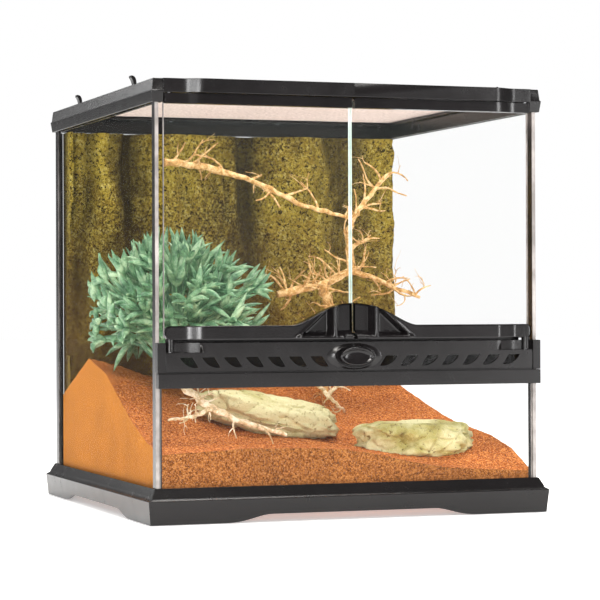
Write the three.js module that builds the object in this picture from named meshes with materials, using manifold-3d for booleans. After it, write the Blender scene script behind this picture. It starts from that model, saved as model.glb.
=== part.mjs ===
// Front-opening glass terrarium with a ventilated mesh lid and its rock, sand and plant furnishing.
// Millimetres, +Z up, the doors face -Y. The part stands on Z = 0, centred under its own outline.
import * as THREE from 'three';
import { mergeVertices } from 'three/addons/utils/BufferGeometryUtils.js';
import Module from 'manifold-3d';

const wasm = await Module();
wasm.setup();

// ---- Driving dimensions ----------------------------------------------------------------------
const tank_width = 426;          // over the outside of the side panes
const tank_depth = 426;          // over the outside of the front and back panes
const rim_height = 454.4;        // top face of the upper frame
const glass_thickness = 4;
const fit_gap = 0.3;             // between pieces that touch
const swing_gap = 0.6;           // between pieces that move past each other

const base_height = 36.8;        // top lip of the plinth, where the panes come out
const base_band_height = 24.3;   // upper edge of the plinth's flat band
const base_overhang = 10.5;      // plinth band beyond the panes
const base_wall = 3;
const base_ledge_depth = 14;     // ledge under the panes
const base_ledge_z = 18;         // top of that ledge
const arch_height = 8;
const arch_flat = 90;            // half length of the arch's flat top
const arch_reach = 140;          // half length of the arch at the floor

const rim_side_height = 24.4;    // height of the side and rear rails
const rim_lip = 5;               // widest reach of the rails beyond the panes
const rim_wall = 2.7;            // inner lip of the rails
const shelf_width = 11;          // rails' reach over the habitat, from the panes' outside
const shelf_inset = 3.2;         // where the lid's seat starts, from the panes' outside
const rear_shelf_width = 27;     // the same two at the rear, where the cable inlets are
const rear_shelf_inset = 20.5;
const shelf_thickness = 3;
const seat_depth = 6.4;          // lid seat below the rim
const lintel_height = 14.4;      // front rail over the doors
const corner_block = 8.4;        // corner posts of the front rail, from the panes' outside

const bulge = 13;                // how far the centre of the front trim stands before the panes
const recess = 5.6;              // how far its ends stand before the panes
const profile_bulge = 9.6;       // the same for the doors' top profiles
const curve_start = 26;          // the trim's S-curve starts this far in from the panes' outside
const curve_length = 25;

const strip_bottom = 138.5;
const strip_height = 46.5;
const strip_band_height = 16;    // plain lower band of the strip
const strip_band_reach = 11.5;
const strip_face_reach = 9;      // louvred face before the panes
const strip_wall = 2.3;
const strip_back = 7;            // strip's reach behind the front panes' outside
const strip_cavity_inset = 22;   // solid hinge block at each end of the strip
const strip_groove = 1.2;        // shadow line over the lower band
const strip_foot_lap = 4;        // strip's lower band laps this far over the low front pane
const hinge_zone_height = 10;    // recessed seats at the strip's upper ends
const stop_lip_thickness = 1.4;  // upright lip behind the closed doors
const stop_lip_rise = 9;         // over the strip's top
const stop_lip_lap = 8;          // down the strip's rear
const stop_lip_inset = 17;
const vent_mesh_thickness = 0.8;
const louvre_count = 7;          // on each side
const louvre_pitch = 23.5;
const louvre_inset = 23.4;       // first louvre's tip, from the panes' outside
const louvre_top = 31.3;         // above the strip's bottom
const louvre_height = 10.2;
const louvre_width = 12.9;
const louvre_sweep = 19.6;

const rail_height = 14.7;        // doors' bottom rails
const rail_lift = 2.3;           // gap between the strip and the rails
const rail_end = 5.2;            // rounding of the rail's outer end
const handle_height = 37.7;      // bell-shaped grip, from the rail's underside
const handle_half_width = 69;
const handle_plate = 3.4;        // thin plate behind the grip's scoops
const scoop_shoulder = 14;       // rise of the outer scoop's slanting side
const ridge_offset = 23;         // upright ridge of each grip half, from the centre
const ridge_width = 6;
const ridge_reach = 16;          // ridges before the panes
const ledge_start = 12.5;        // rail's foot ledge, from the centre
const ledge_height = 2.6;
const door_gap = 3.2;            // between the two doors
const door_swing_profile = 10.8; // height of the top profiles
const profile_cap = 2.4;
const channel_floor = 2.2;       // lip under a door's pane

const hinge_inset = 14;          // hinge axes, from the panes' outside
const hinge_reach = 3;           // hinge axes before the panes' outside
const pin_radius = 1.6;
const pin_clearance = 0.3;
const pin_engagement = 7.5;      // length of a pin inside each piece
const knuckle_radius = 4.5;

const knob_half_width = 19;
const knob_half_height = 9.8;
const knob_reach = 19;           // knob's face before the panes
const knob_thickness = 5.5;
const knob_height_in_strip = 31; // knob's axis above the strip's bottom
const knob_dish = 1.8;
const knob_rim = 2;              // plain border round the dish
const collar_wall = 3;           // of the knob's collar round the shaft
const boss_half_width = 23;
const boss_half_height = 12.6;
const boss_reach = 11.5;
const shaft_radius = 4;
const cam_half_length = 24;
const cam_half_height = 5;
const cam_thickness = 3;
const cam_pocket_depth = 7.4;    // pockets for the cam under the rails
const cam_clearance = 1;         // free space before and behind the turning cam

const lid_height = 5.6;
const lid_rail_width = 10;
const lid_gap = 0.5;             // round the lid in its seat
const lid_mesh_thickness = 0.8;
const lid_mesh_inset = 3.5;
const lid_mesh_pocket = 2;
const crossbar_width = 6;
const crossbar_offset = 67;      // crossbar behind the centre
const latch_spacing = 232;       // between the two latches of one side
const latch_width = 9;
const latch_arm = 5;
const latch_arm_thickness = 2.2;
const latch_hook_height = 9.2;
const latch_hook_thickness = 2.6;
const latch_curl = 3.6;
const latch_axle_inset = 9.5;    // latch axles, from the panes' outside
const latch_axle_radius = 0.8;
const latch_ear = 2;             // thickness of the lid's ears beside a latch

const port_length = 34;          // cable inlets in the rear rail
const port_width = 10;
const port_centre = 140;
const shutter_length = 42;
const shutter_width = 13;
const shutter_thickness = 1.6;
const shutter_travel = 38;
const shutter_recess = 2.4;

const bead = 3.4;                // silicone in the corners
const pane_top_gap = 8.4;        // panes end this far under the rim
const past = 30;                 // cutting tools run this far past what they cut

const sand_floor_gap = 0.4;
const background_side_gap = 4.2;  // beside the background, for the corners' silicone
const background_top_gap = 1.5;   // under the rear rail
const basking_half_width = 82;
const basking_half_depth = 42;
const basking_half_height = 23;
const basking_lift = 18;         // its centre over the sand
const basking_tilt = 0.19;
const feeding_half_width = 71;
const feeding_half_depth = 42;
const feeding_height = 44;
const feeding_round = 7;
const feeding_sink = 9;
const feeding_bowl_depth = 9;
const plant_half_width = 88;
const plant_half_depth = 84;
const plant_half_height = 76;
const plant_stem_radius = 14;
const plant_root = 34;           // stem's reach under the crown
const plant_lift = 26;           // crown's underside over the sand
const branch_radius = 4;
const twig_radius = 2.4;

// ---- Places worked out from them -------------------------------------------------------------
const half_width = tank_width / 2;
const half_depth = tank_depth / 2;
const inner_half_width = half_width - glass_thickness;
const inner_half_depth = half_depth - glass_thickness;
const front = -half_depth;
const pane_bottom = base_ledge_z + fit_gap;
const pane_top = rim_height - pane_top_gap;
const floor_z = pane_bottom + glass_thickness;
const seat_z = rim_height - seat_depth;
const rail_foot = rim_height - rim_side_height;
const lintel_bottom = rim_height - lintel_height;
const strip_top = strip_bottom + strip_height;
const rail_bottom = strip_top + rail_lift;
const rail_top = rail_bottom + rail_height;
const door_half_inner = door_gap / 2;
const door_outer = half_width - corner_block - swing_gap;
const profile_top = lintel_bottom - swing_gap;
const profile_bottom = profile_top - door_swing_profile;
const hinge_x = half_width - hinge_inset;
const hinge_y = front - hinge_reach;
const knob_z = strip_bottom + knob_height_in_strip;
const cam_front = front - strip_face_reach + strip_wall + cam_clearance;
const cam_back = cam_front + cam_thickness;
const cam_slot_reach = cam_half_length * 0.94;
const front_pane_top = strip_bottom + strip_band_height - strip_foot_lap;
const base_half_width = half_width + base_overhang;
const outline_front = half_depth + Math.max(knob_reach, ridge_reach, base_overhang);
const outline_rear = half_depth + base_overhang;
const centring = (outline_front - outline_rear) / 2;

// ---- Materials -------------------------------------------------------------------------------
const plastic = { color: 0x2f2a2b, roughness: 0.42, metalness: 0 };
const glass = { color: 0xdfeee8, roughness: 0.05, metalness: 0 };
const silicone = { color: 0x1c1c1e, roughness: 0.6, metalness: 0 };
const steel = { color: 0x9a9aa0, roughness: 0.35, metalness: 0.9 };
const wire_mesh = { color: 0xb9a893, roughness: 0.5, metalness: 0.4 };
const foam = { color: 0x87733a, roughness: 0.95, metalness: 0 };
const sand = { color: 0xb4561f, roughness: 1, metalness: 0 };
const stone = { color: 0xc4b98a, roughness: 0.9, metalness: 0 };
const wood = { color: 0xd9b27c, roughness: 0.8, metalness: 0 };
const leaf = { color: 0x5f9079, roughness: 0.6, metalness: 0 };

// ---- Geometry helpers ------------------------------------------------------------------------
function solid(geometry) {
  const bare = geometry.index ? geometry.toNonIndexed() : geometry.clone();
  bare.deleteAttribute('normal');
  bare.deleteAttribute('uv');
  const merged = mergeVertices(bare, 1e-3);
  const vertProperties = new Float32Array(merged.attributes.position.array);
  const triVerts = new Uint32Array(merged.index.array);
  return new wasm.Manifold(new wasm.Mesh({ numProp: 3, vertProperties, triVerts }));
}

function geometryOf(body) {
  const mesh = body.getMesh();
  const geometry = new THREE.BufferGeometry();
  geometry.setAttribute('position', new THREE.BufferAttribute(mesh.vertProperties, 3));
  geometry.setIndex(new THREE.BufferAttribute(mesh.triVerts, 1));
  return geometry;
}

function join(...bodies) {
  return bodies.reduce((all, body) => all.add(body));
}

function cut(body, ...tools) {
  return tools.reduce((rest, tool) => rest.subtract(tool), body);
}

// A box between two opposite corners, given as [from, to] on each axis in any order.
function block(xs, ys, zs) {
  const size = [xs, ys, zs].map(([a, b]) => Math.abs(b - a));
  const middle = [xs, ys, zs].map(([a, b]) => (a + b) / 2);
  return solid(new THREE.BoxGeometry(...size).translate(...middle));
}

function shapeOf(outline) {
  if (outline instanceof THREE.Shape) return outline;
  return new THREE.Shape(outline.map(([a, b]) => new THREE.Vector2(a, b)));
}

function extrude(outline, length) {
  const options = { depth: length, bevelEnabled: false, curveSegments: 10 };
  return new THREE.ExtrudeGeometry(shapeOf(outline), options);
}

// A plan outline (x, y) raised between two heights.
function upright(outline, bottom, top) {
  return solid(extrude(outline, top - bottom).translate(0, 0, bottom));
}

// A front outline (x, z) run between two depths.
function frontal(outline, near, far) {
  return solid(extrude(outline, far - near).rotateX(Math.PI / 2).translate(0, far, 0));
}

// A side outline (y, z) run between two x values.
function sideways(outline, from, to) {
  const geometry = extrude(outline, to - from);
  geometry.rotateX(Math.PI / 2);
  geometry.rotateZ(Math.PI / 2);
  return solid(geometry.translate(from, 0, 0));
}

function post(radius, x, y, bottom, top, sides = 20) {
  const geometry = new THREE.CylinderGeometry(radius, radius, top - bottom, sides);
  return solid(geometry.rotateX(Math.PI / 2).translate(x, y, (bottom + top) / 2));
}

function axle(radius, x, z, near, far, sides = 24) {
  const geometry = new THREE.CylinderGeometry(radius, radius, far - near, sides);
  return solid(geometry.translate(x, (near + far) / 2, z));
}

function ellipsoid(radii, centre, detail = 2) {
  const geometry = new THREE.IcosahedronGeometry(1, detail);
  return solid(geometry.scale(...radii).translate(...centre));
}

// A rod of round section along a smooth path.
function rod(points, radius, steps = 10) {
  const path = new THREE.CatmullRomCurve3(points.map((p) => new THREE.Vector3(...p)));
  const sides = 7;
  const section = new THREE.Shape();
  for (let i = 0; i < sides; i++) {
    const angle = (i / sides) * 2 * Math.PI;
    const place = [radius * Math.cos(angle), radius * Math.sin(angle)];
    if (i === 0) section.moveTo(...place);
    else section.lineTo(...place);
  }
  return solid(new THREE.ExtrudeGeometry(section, { steps, extrudePath: path, bevelEnabled: false }));
}

// A section of (offset from the panes, height) points carried round the four sides with mitred corners.
function ringFrame(section) {
  const positions = [];
  const corners = [[-1, -1], [1, -1], [1, 1], [-1, 1]];
  const at = (k, [offset, z]) => {
    const [sx, sy] = corners[k % 4];
    return [sx * (half_width + offset), sy * (half_depth + offset), z];
  };
  for (let k = 0; k < 4; k++) {
    for (let i = 0; i < section.length; i++) {
      const next = section[(i + 1) % section.length];
      const [a, b, c, d] = [at(k, section[i]), at(k + 1, section[i]), at(k + 1, next), at(k, next)];
      positions.push(...a, ...b, ...c, ...a, ...c, ...d);
    }
  }
  const geometry = new THREE.BufferGeometry();
  geometry.setAttribute('position', new THREE.BufferAttribute(new Float32Array(positions), 3));
  return solid(geometry);
}

function ellipse(x, z, half_x, half_z) {
  const shape = new THREE.Shape();
  shape.absellipse(x, z, half_x, half_z, 0, 2 * Math.PI, false, 0);
  return shape;
}

// Plan points of the front trim's face, from one x to another on one side: recessed at the hinges and
// brought forward to the bulge by an S-curve.
function trimFace(side, from, to, ends, centre) {
  const outer = half_width - curve_start;
  const inner = outer - curve_length;
  const depth = (x) => {
    const share = THREE.MathUtils.clamp((outer - x) / curve_length, 0, 1);
    return front - ends - (centre - ends) * (0.5 - 0.5 * Math.cos(Math.PI * share));
  };
  const stops = [from, ...Array.from({ length: 9 }, (_, i) => inner + (curve_length * i) / 8), to];
  return stops.filter((x) => x >= from && x <= to).map((x) => [side * x, depth(x)]);
}

function trimPlan(side, from, to, ends, centre, back) {
  return [...trimFace(side, from, to, ends, centre), [side * to, back], [side * from, back]];
}

const tank = new THREE.Group();
tank.position.y = centring;

function place(name, body, finish) {
  const mesh = new THREE.Mesh(geometryOf(body), new THREE.MeshStandardMaterial(finish));
  mesh.name = name;
  tank.add(mesh);
  return body;
}

// ---- Plinth ----------------------------------------------------------------------------------
function archOutline() {
  const shape = new THREE.Shape();
  shape.moveTo(-arch_reach, -1);
  shape.lineTo(-arch_reach, 0);
  shape.bezierCurveTo(-arch_reach + 24, 0, -arch_flat - 16, arch_height, -arch_flat, arch_height);
  shape.lineTo(arch_flat, arch_height);
  shape.bezierCurveTo(arch_flat + 16, arch_height, arch_reach - 24, 0, arch_reach, 0);
  shape.lineTo(arch_reach, -1);
  return shape;
}

function makeBase() {
  const inner = fit_gap;
  const section = [
    [base_overhang - 2.3, 0],
    [base_overhang, base_band_height],
    [base_overhang - 3.8, base_band_height + 2.2],
    [base_overhang - 4.6, base_band_height + 4.7],
    [inner + 1.5, base_height],
    [inner, base_height],
    [inner, base_ledge_z],
    [-base_ledge_depth, base_ledge_z],
    [-base_ledge_depth, base_ledge_z - base_wall],
    [base_overhang - base_wall - 2.3, base_ledge_z - base_wall],
    [base_overhang - base_wall - 2.3, 0],
  ];
  const arches_front = frontal(archOutline(), front - 30, half_depth + 30);
  const arches_side = sideways(archOutline(), -base_half_width - 5, base_half_width + 5);
  place('base_frame', cut(ringFrame(section), arches_front, arches_side), plastic);
}

// ---- Panes and their silicone ----------------------------------------------------------------
function makePanes() {
  const across = [-inner_half_width + fit_gap, inner_half_width - fit_gap];
  const side = (s) => [s * inner_half_width, s * half_width];
  const full = [pane_bottom, pane_top];
  place('left_glass', block(side(-1), [-half_depth, half_depth], full), glass);
  place('right_glass', block(side(1), [-half_depth, half_depth], full), glass);
  place('back_glass', block(across, [inner_half_depth, half_depth], full), glass);
  const low_front = [-half_depth, -inner_half_depth];
  place('front_lower_glass', block(across, low_front, [pane_bottom, front_pane_top]), glass);
  const deep = [-inner_half_depth + fit_gap, inner_half_depth - fit_gap];
  place('bottom_glass', block(across, deep, [pane_bottom, floor_z]), glass);
  for (const [name, s] of [['left', -1], ['right', 1]]) {
    makeBead(`rear_${name}_silicone`, s, 1, rail_foot - 1);
    makeBead(`front_${name}_silicone`, s, -1, front_pane_top);
  }
}

function makeBead(name, sx, sy, top) {
  const x = sx * (inner_half_width - fit_gap);
  const y = sy * (inner_half_depth - fit_gap);
  const hollow = bead * 0.35;
  const outline = [[x, y], [x - sx * bead, y], [x - sx * hollow, y - sy * hollow], [x, y - sy * bead]];
  place(name, upright(outline, floor_z + fit_gap, top), silicone);
}

// ---- Upper frame -----------------------------------------------------------------------------
function railSection() {
  const bottom = rail_foot;
  const pocket = glass_thickness + fit_gap;
  return [
    [rim_lip - 1.7, bottom],
    [rim_lip, rim_height - 12.4],
    [rim_lip - 1.2, rim_height - 11.8],
    [rim_lip - 2.5, rim_height],
    [-shelf_width, rim_height],
    [-shelf_width, seat_z - shelf_thickness],
    [-pocket - rim_wall, seat_z - shelf_thickness],
    [-pocket - rim_wall, bottom],
    [-pocket, bottom],
    [-pocket, pane_top + fit_gap],
    [fit_gap, pane_top + fit_gap],
    [fit_gap, bottom],
  ];
}

function makeTopFrame() {
  const opening = half_width - corner_block;
  const doorway = block([-opening, opening], [front - past, front + shelf_width + 1], [0, lintel_bottom]);
  const back = front + shelf_width;
  const face = [
    ...trimFace(-1, 0, opening + 1, recess, bulge).reverse(),
    ...trimFace(1, 0, opening + 1, recess, bulge).slice(1),
    [opening + 1, back],
    [-opening - 1, back],
  ];
  const lintel = upright(face, lintel_bottom, rim_height);
  const rear_x = half_width - glass_thickness - rim_wall;
  const rear_y = [half_depth - rear_shelf_width, half_depth - glass_thickness - rim_wall];
  const rear_shelf = block([-rear_x, rear_x], rear_y, [seat_z - shelf_thickness, rim_height]);
  const seat_x = half_width - shelf_inset;
  const seat_y = [front + shelf_inset, half_depth - rear_shelf_inset];
  const seat = block([-seat_x, seat_x], seat_y, [seat_z, rim_height + 1]);
  let frame = cut(join(cut(ringFrame(railSection()), doorway), lintel, rear_shelf), seat);
  for (const side of [-1, 1]) {
    const bore_top = lintel_bottom + pin_engagement + 1;
    const bore = post(pin_radius + pin_clearance, side * hinge_x, hinge_y, 0, bore_top);
    const inlet_x = [side * (port_centre - port_length / 2), side * (port_centre + port_length / 2)];
    const inlet_y = [shutterY() - port_width / 2, shutterY() + port_width / 2];
    const inlet = block(inlet_x, inlet_y, [0, rim_height + 1]);
    frame = cut(frame, bore, inlet);
    frame = cut(frame, shutterBed(side));
  }
  place('top_frame', frame, plastic);
}

// Shallow bed in the rear rail's top along which an inlet's shutter slides toward the centre.
function shutterBed(side) {
  const far = port_centre + shutter_length / 2 + swing_gap;
  const near = port_centre - shutter_length / 2 - shutter_travel - swing_gap;
  const y = shutterY();
  const ys = [y - shutter_width / 2 - fit_gap, y + shutter_width / 2 + fit_gap];
  return block([side * near, side * far], ys, [rim_height - shutter_recess, rim_height + 1]);
}

function shutterY() {
  return half_depth - rear_shelf_inset + 0.5 + fit_gap + shutter_width / 2;
}

function makeShutters() {
  for (const [name, side] of [['left', -1], ['right', 1]]) {
    const xs = [side * (port_centre - shutter_length / 2), side * (port_centre + shutter_length / 2)];
    const y = shutterY();
    const bottom = rim_height - shutter_recess + fit_gap;
    const ys = [y - shutter_width / 2, y + shutter_width / 2];
    const plate = block(xs, ys, [bottom, bottom + shutter_thickness]);
    const grip = block(
      [side * port_centre - 1.5, side * port_centre + 1.5],
      [y - 3.5, y + 3.5],
      [bottom + 0.5, bottom + shutter_thickness + 1.4],
    );
    place(`${name}_cable_shutter`, join(plate, grip), plastic);
  }
}

// ---- Vent strip ------------------------------------------------------------------------------
function louvreOutline(side, x, z) {
  const shape = new THREE.Shape();
  const at = (dx, dz) => [side * x - side * dx, z + dz];
  shape.moveTo(...at(0, 0));
  shape.lineTo(...at(louvre_width, 0));
  shape.lineTo(...at(louvre_sweep, -louvre_height));
  shape.quadraticCurveTo(...at(louvre_sweep * 0.38, -louvre_height * 1.13), ...at(0, 0));
  return shape;
}

function stripHinge(side) {
  const zone_bottom = strip_top - hinge_zone_height;
  const outer = half_width + 2;
  const face = trimFace(side, 0, outer, recess - 2, strip_face_reach + 0.01);
  const ahead = [...face, [side * outer, front - past], [0, front - past]];
  const zone = upright(ahead, zone_bottom, strip_top + 1);
  const seat = post(knuckle_radius + swing_gap, side * hinge_x, hinge_y, zone_bottom, strip_top + 1);
  const pin_bottom = zone_bottom - pin_engagement - 1;
  const bore = post(pin_radius + pin_clearance, side * hinge_x, hinge_y, pin_bottom, strip_top);
  return [zone, seat, bore];
}

function stripBody() {
  const cheek = half_width - corner_block;
  const face = front - strip_face_reach;
  const behind = front - fit_gap;
  const face_bottom = strip_bottom + strip_band_height;
  const panel = block([-cheek, cheek], [face, behind], [strip_bottom, strip_top]);
  const band_front = front - strip_band_reach;
  const band = block([-half_width, half_width], [band_front, behind], [strip_bottom, face_bottom - 1]);
  const reach = inner_half_width - 2 * fit_gap;
  const rear_z = [front_pane_top + fit_gap, strip_top];
  const core = block([-cheek, cheek], [face, front + strip_back], rear_z);
  const rear = join(core, block([-reach, reach], [front + fit_gap, front + strip_back], rear_z));
  const boss = frontal(ellipse(0, knob_z, boss_half_width, boss_half_height), front - boss_reach, face + 1);
  const groove_top = face_bottom + strip_groove - 1;
  const groove = block([-cheek, cheek], [face - 0.01, face + 1], [face_bottom - 1, groove_top]);
  const boss_room = frontal(ellipse(0, knob_z, boss_half_width, boss_half_height + 1), face - 5, face + 5);
  return cut(join(panel, band, rear, boss), cut(groove, boss_room));
}

function makeStrip() {
  const cavity_half = half_width - strip_cavity_inset;
  const inside = front - strip_face_reach + strip_wall;
  const cavity_bottom = strip_bottom + strip_band_height - 1.5;
  const cavity_top = strip_top - hinge_zone_height - strip_wall;
  const cavity_z = [cavity_bottom, cavity_top];
  const cavity = block([-cavity_half, cavity_half], [inside, front + past], cavity_z);
  const band_hollow = block(
    [-cavity_half, cavity_half],
    [front - strip_band_reach + strip_wall, front],
    [strip_bottom + strip_wall, front_pane_top],
  );
  const shaft_bore = axle(shaft_radius + pin_clearance, 0, knob_z, front - past, inside + 1);
  const slot_reach = cam_half_length + swing_gap;
  const cam_slot = block(
    [-slot_reach, slot_reach],
    [cam_front - cam_clearance, cam_back + cam_clearance],
    [knob_z - cam_half_length - swing_gap, strip_top + 1],
  );
  let strip = cut(stripBody(), cavity, band_hollow, shaft_bore, cam_slot);
  for (const side of [-1, 1]) {
    strip = cut(strip, ...stripHinge(side));
    for (let i = 0; i < louvre_count; i++) {
      const tip = half_width - louvre_inset - i * louvre_pitch;
      const outline = louvreOutline(side, tip, strip_bottom + louvre_top);
      strip = cut(strip, frontal(outline, front - past, inside + 0.5));
    }
  }
  place('vent_strip', strip, plastic);
  const mesh_x = [-cavity_half + fit_gap, cavity_half - fit_gap];
  const mesh_y = front + strip_back - 2;
  const mesh_z = [cavity_bottom + fit_gap, cavity_top - fit_gap];
  place('vent_mesh', block(mesh_x, [mesh_y, mesh_y + vent_mesh_thickness], mesh_z), wire_mesh);
  const lip_x = half_width - stop_lip_inset;
  const lip_y = front + strip_back + fit_gap;
  const lip_z = [strip_top - stop_lip_lap, strip_top + stop_lip_rise];
  place('door_stop_lip', block([-lip_x, lip_x], [lip_y, lip_y + stop_lip_thickness], lip_z), plastic);
}

function makeCheeks() {
  for (const [name, side] of [['left', -1], ['right', 1]]) {
    const xs = [side * (half_width - corner_block + fit_gap), side * (half_width + 0.6)];
    const ys = [front - fit_gap, front - strip_face_reach - 1];
    const zs = [strip_bottom + strip_band_height - 1 + fit_gap, strip_top];
    place(`strip_end_cap_${name}`, block(xs, ys, zs), plastic);
  }
}

// ---- Hinge pins ------------------------------------------------------------------------------
function makePins() {
  for (const [name, side] of [['left', -1], ['right', 1]]) {
    const seat = strip_top - hinge_zone_height;
    const low_top = seat + pin_engagement + 3;
    const low = post(pin_radius, side * hinge_x, hinge_y, seat - pin_engagement, low_top, 16);
    place(`lower_hinge_pin_${name}`, low, steel);
    const bottom = profile_top - pin_engagement;
    const top = lintel_bottom + pin_engagement;
    const high = post(pin_radius, side * hinge_x, hinge_y, bottom, top, 16);
    place(`upper_hinge_pin_${name}`, high, steel);
  }
}

// ---- Doors -----------------------------------------------------------------------------------
function railOutline(side) {
  const shape = new THREE.Shape();
  const outer = door_outer;
  const grip_top = rail_bottom + handle_height;
  const p = (x, z) => [side * x, z];
  shape.moveTo(...p(door_half_inner, rail_bottom));
  shape.lineTo(...p(outer - rail_end, rail_bottom));
  shape.quadraticCurveTo(...p(outer, rail_bottom), ...p(outer, rail_bottom + rail_end));
  shape.lineTo(...p(outer, rail_top - rail_end));
  shape.quadraticCurveTo(...p(outer, rail_top), ...p(outer - rail_end, rail_top));
  shape.lineTo(...p(handle_half_width, rail_top));
  shape.bezierCurveTo(...p(handle_half_width * 0.75, rail_top + 2), ...p(handle_half_width * 0.46, grip_top),
    ...p(door_half_inner, grip_top));
  return shape;
}

// The two scoops of a grip half: between the centre and the ridge, and outside the ridge.
function scoops(side) {
  const floor = rail_bottom + ledge_height + 1.6;
  const far = front - handle_plate;
  const inner_far = ridge_offset - ridge_width / 2;
  const outer_near = ridge_offset + ridge_width / 2;
  const outer_far = handle_half_width * 0.88;
  const p = (x, z) => [side * x, z];
  const over = floor + past + scoop_shoulder;
  const inner = [p(-2, floor), p(inner_far - 1.5, floor), p(inner_far, over), p(-2, over)];
  const shoulder = p(outer_far - scoop_shoulder - 2, floor + scoop_shoulder);
  const outer = [p(outer_near + 1.5, floor), p(outer_far, floor), shoulder, p(outer_near, over)];
  return [frontal(inner, front - past, far), frontal(outer, front - past, far - 1.2)];
}

function makeHandleRail(name, side) {
  const outline = frontal(railOutline(side), front - past, front + past);
  const plan = trimPlan(side, door_half_inner, door_outer, recess, bulge, front - fit_gap);
  const face = upright(plan, rail_bottom, rail_bottom + handle_height);
  const ridge_plan = [
    [side * (ridge_offset - ridge_width / 2 - 2), front - bulge + 1],
    [side * (ridge_offset - 1.2), front - ridge_reach],
    [side * (ridge_offset + 1.2), front - ridge_reach],
    [side * (ridge_offset + ridge_width / 2 + 2), front - bulge + 1],
  ];
  const ridge = upright(ridge_plan, rail_bottom, rail_bottom + handle_height);
  const ledge = block(
    [side * ledge_start, side * handle_half_width * 0.92],
    [front - bulge + 1, front - ridge_reach],
    [rail_bottom, rail_bottom + ledge_height],
  );
  let body = cut(join(face, ridge), ...scoops(side)).intersect(outline);
  const lip = block(
    [side * (door_half_inner + 0.4), side * (door_outer - rail_end)],
    [front - 1, front + glass_thickness + fit_gap],
    [rail_bottom, rail_bottom + channel_floor],
  );
  const knuckle_foot = strip_top - hinge_zone_height + swing_gap;
  const knuckle = post(knuckle_radius, side * hinge_x, hinge_y, knuckle_foot, rail_bottom + 1);
  body = join(body, ledge, lip, knuckle);
  const bore_top = strip_top - hinge_zone_height + pin_engagement + 3 + swing_gap;
  const bore = post(pin_radius + pin_clearance, side * hinge_x, hinge_y, strip_top - 20, bore_top);
  const pocket = block(
    [0, side * cam_slot_reach],
    [cam_front - cam_clearance, cam_back + cam_clearance],
    [rail_bottom - 1, rail_bottom + cam_pocket_depth],
  );
  place(`${name}_handle_rail`, cut(body, bore, pocket), plastic);
}

function makeTopProfile(name, side) {
  const plan = trimPlan(side, door_half_inner, door_outer, recess, profile_bulge, front - fit_gap);
  const face = upright(plan, profile_bottom, profile_top);
  const cap = block(
    [side * door_half_inner, side * door_outer],
    [front - 1, front + glass_thickness + fit_gap],
    [profile_top - profile_cap, profile_top],
  );
  const bore_bottom = profile_top - pin_engagement - swing_gap;
  const bore = post(pin_radius + pin_clearance, side * hinge_x, hinge_y, bore_bottom, profile_top + 1);
  place(`${name}_door_top_profile`, cut(join(face, cap), bore), plastic);
}

function makeDoors() {
  for (const [name, side] of [['left', -1], ['right', 1]]) {
    const xs = [side * (door_half_inner + 0.4), side * door_outer];
    const zs = [rail_bottom + channel_floor + fit_gap, profile_top - profile_cap - fit_gap];
    place(`${name}_door_glass`, block(xs, [front, front + glass_thickness], zs), glass);
    makeHandleRail(name, side);
    makeTopProfile(name, side);
  }
}

// ---- Lock ------------------------------------------------------------------------------------
function makeLock() {
  const face = front - knob_reach;
  const back = face + knob_thickness;
  const collar_end = front - boss_reach - swing_gap;
  const oval = frontal(ellipse(0, knob_z, knob_half_width, knob_half_height), face, back);
  const collar = axle(shaft_radius + collar_wall, 0, knob_z, back - 1, collar_end);
  const dish_radii = [knob_half_width - knob_rim, knob_dish, knob_half_height - knob_rim];
  const dish = ellipsoid(dish_radii, [0, face, knob_z]);
  const socket_end = face + knob_thickness * 0.5;
  const socket = axle(shaft_radius + pin_clearance, 0, knob_z, socket_end, collar_end + 1);
  place('lock_knob', cut(join(oval, collar), dish, socket), plastic);
  const bar = frontal(ellipse(0, knob_z, cam_half_length, cam_half_height), cam_front, cam_back);
  const shaft = axle(shaft_radius, 0, knob_z, socket_end + fit_gap, cam_front + 1);
  place('lock_cam', join(bar, shaft), plastic);
}

// ---- Lid -------------------------------------------------------------------------------------
// A box over the lid's plan, drawn in from its outline by an inset.
function lidBlock(inset, zs) {
  const x = half_width - shelf_inset - lid_gap - inset;
  const ys = [front + shelf_inset + lid_gap + inset, half_depth - rear_shelf_inset - lid_gap - inset];
  return block([-x, x], ys, zs);
}

function latchPlaces() {
  const sides = [['left', -1], ['right', 1]];
  const ends = [['front', -1], ['rear', 1]];
  const place_of = (name, side) => ([end, way]) => [`${end}_${name}`, side, (way * latch_spacing) / 2];
  return sides.flatMap(([name, side]) => ends.map(place_of(name, side)));
}

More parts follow.
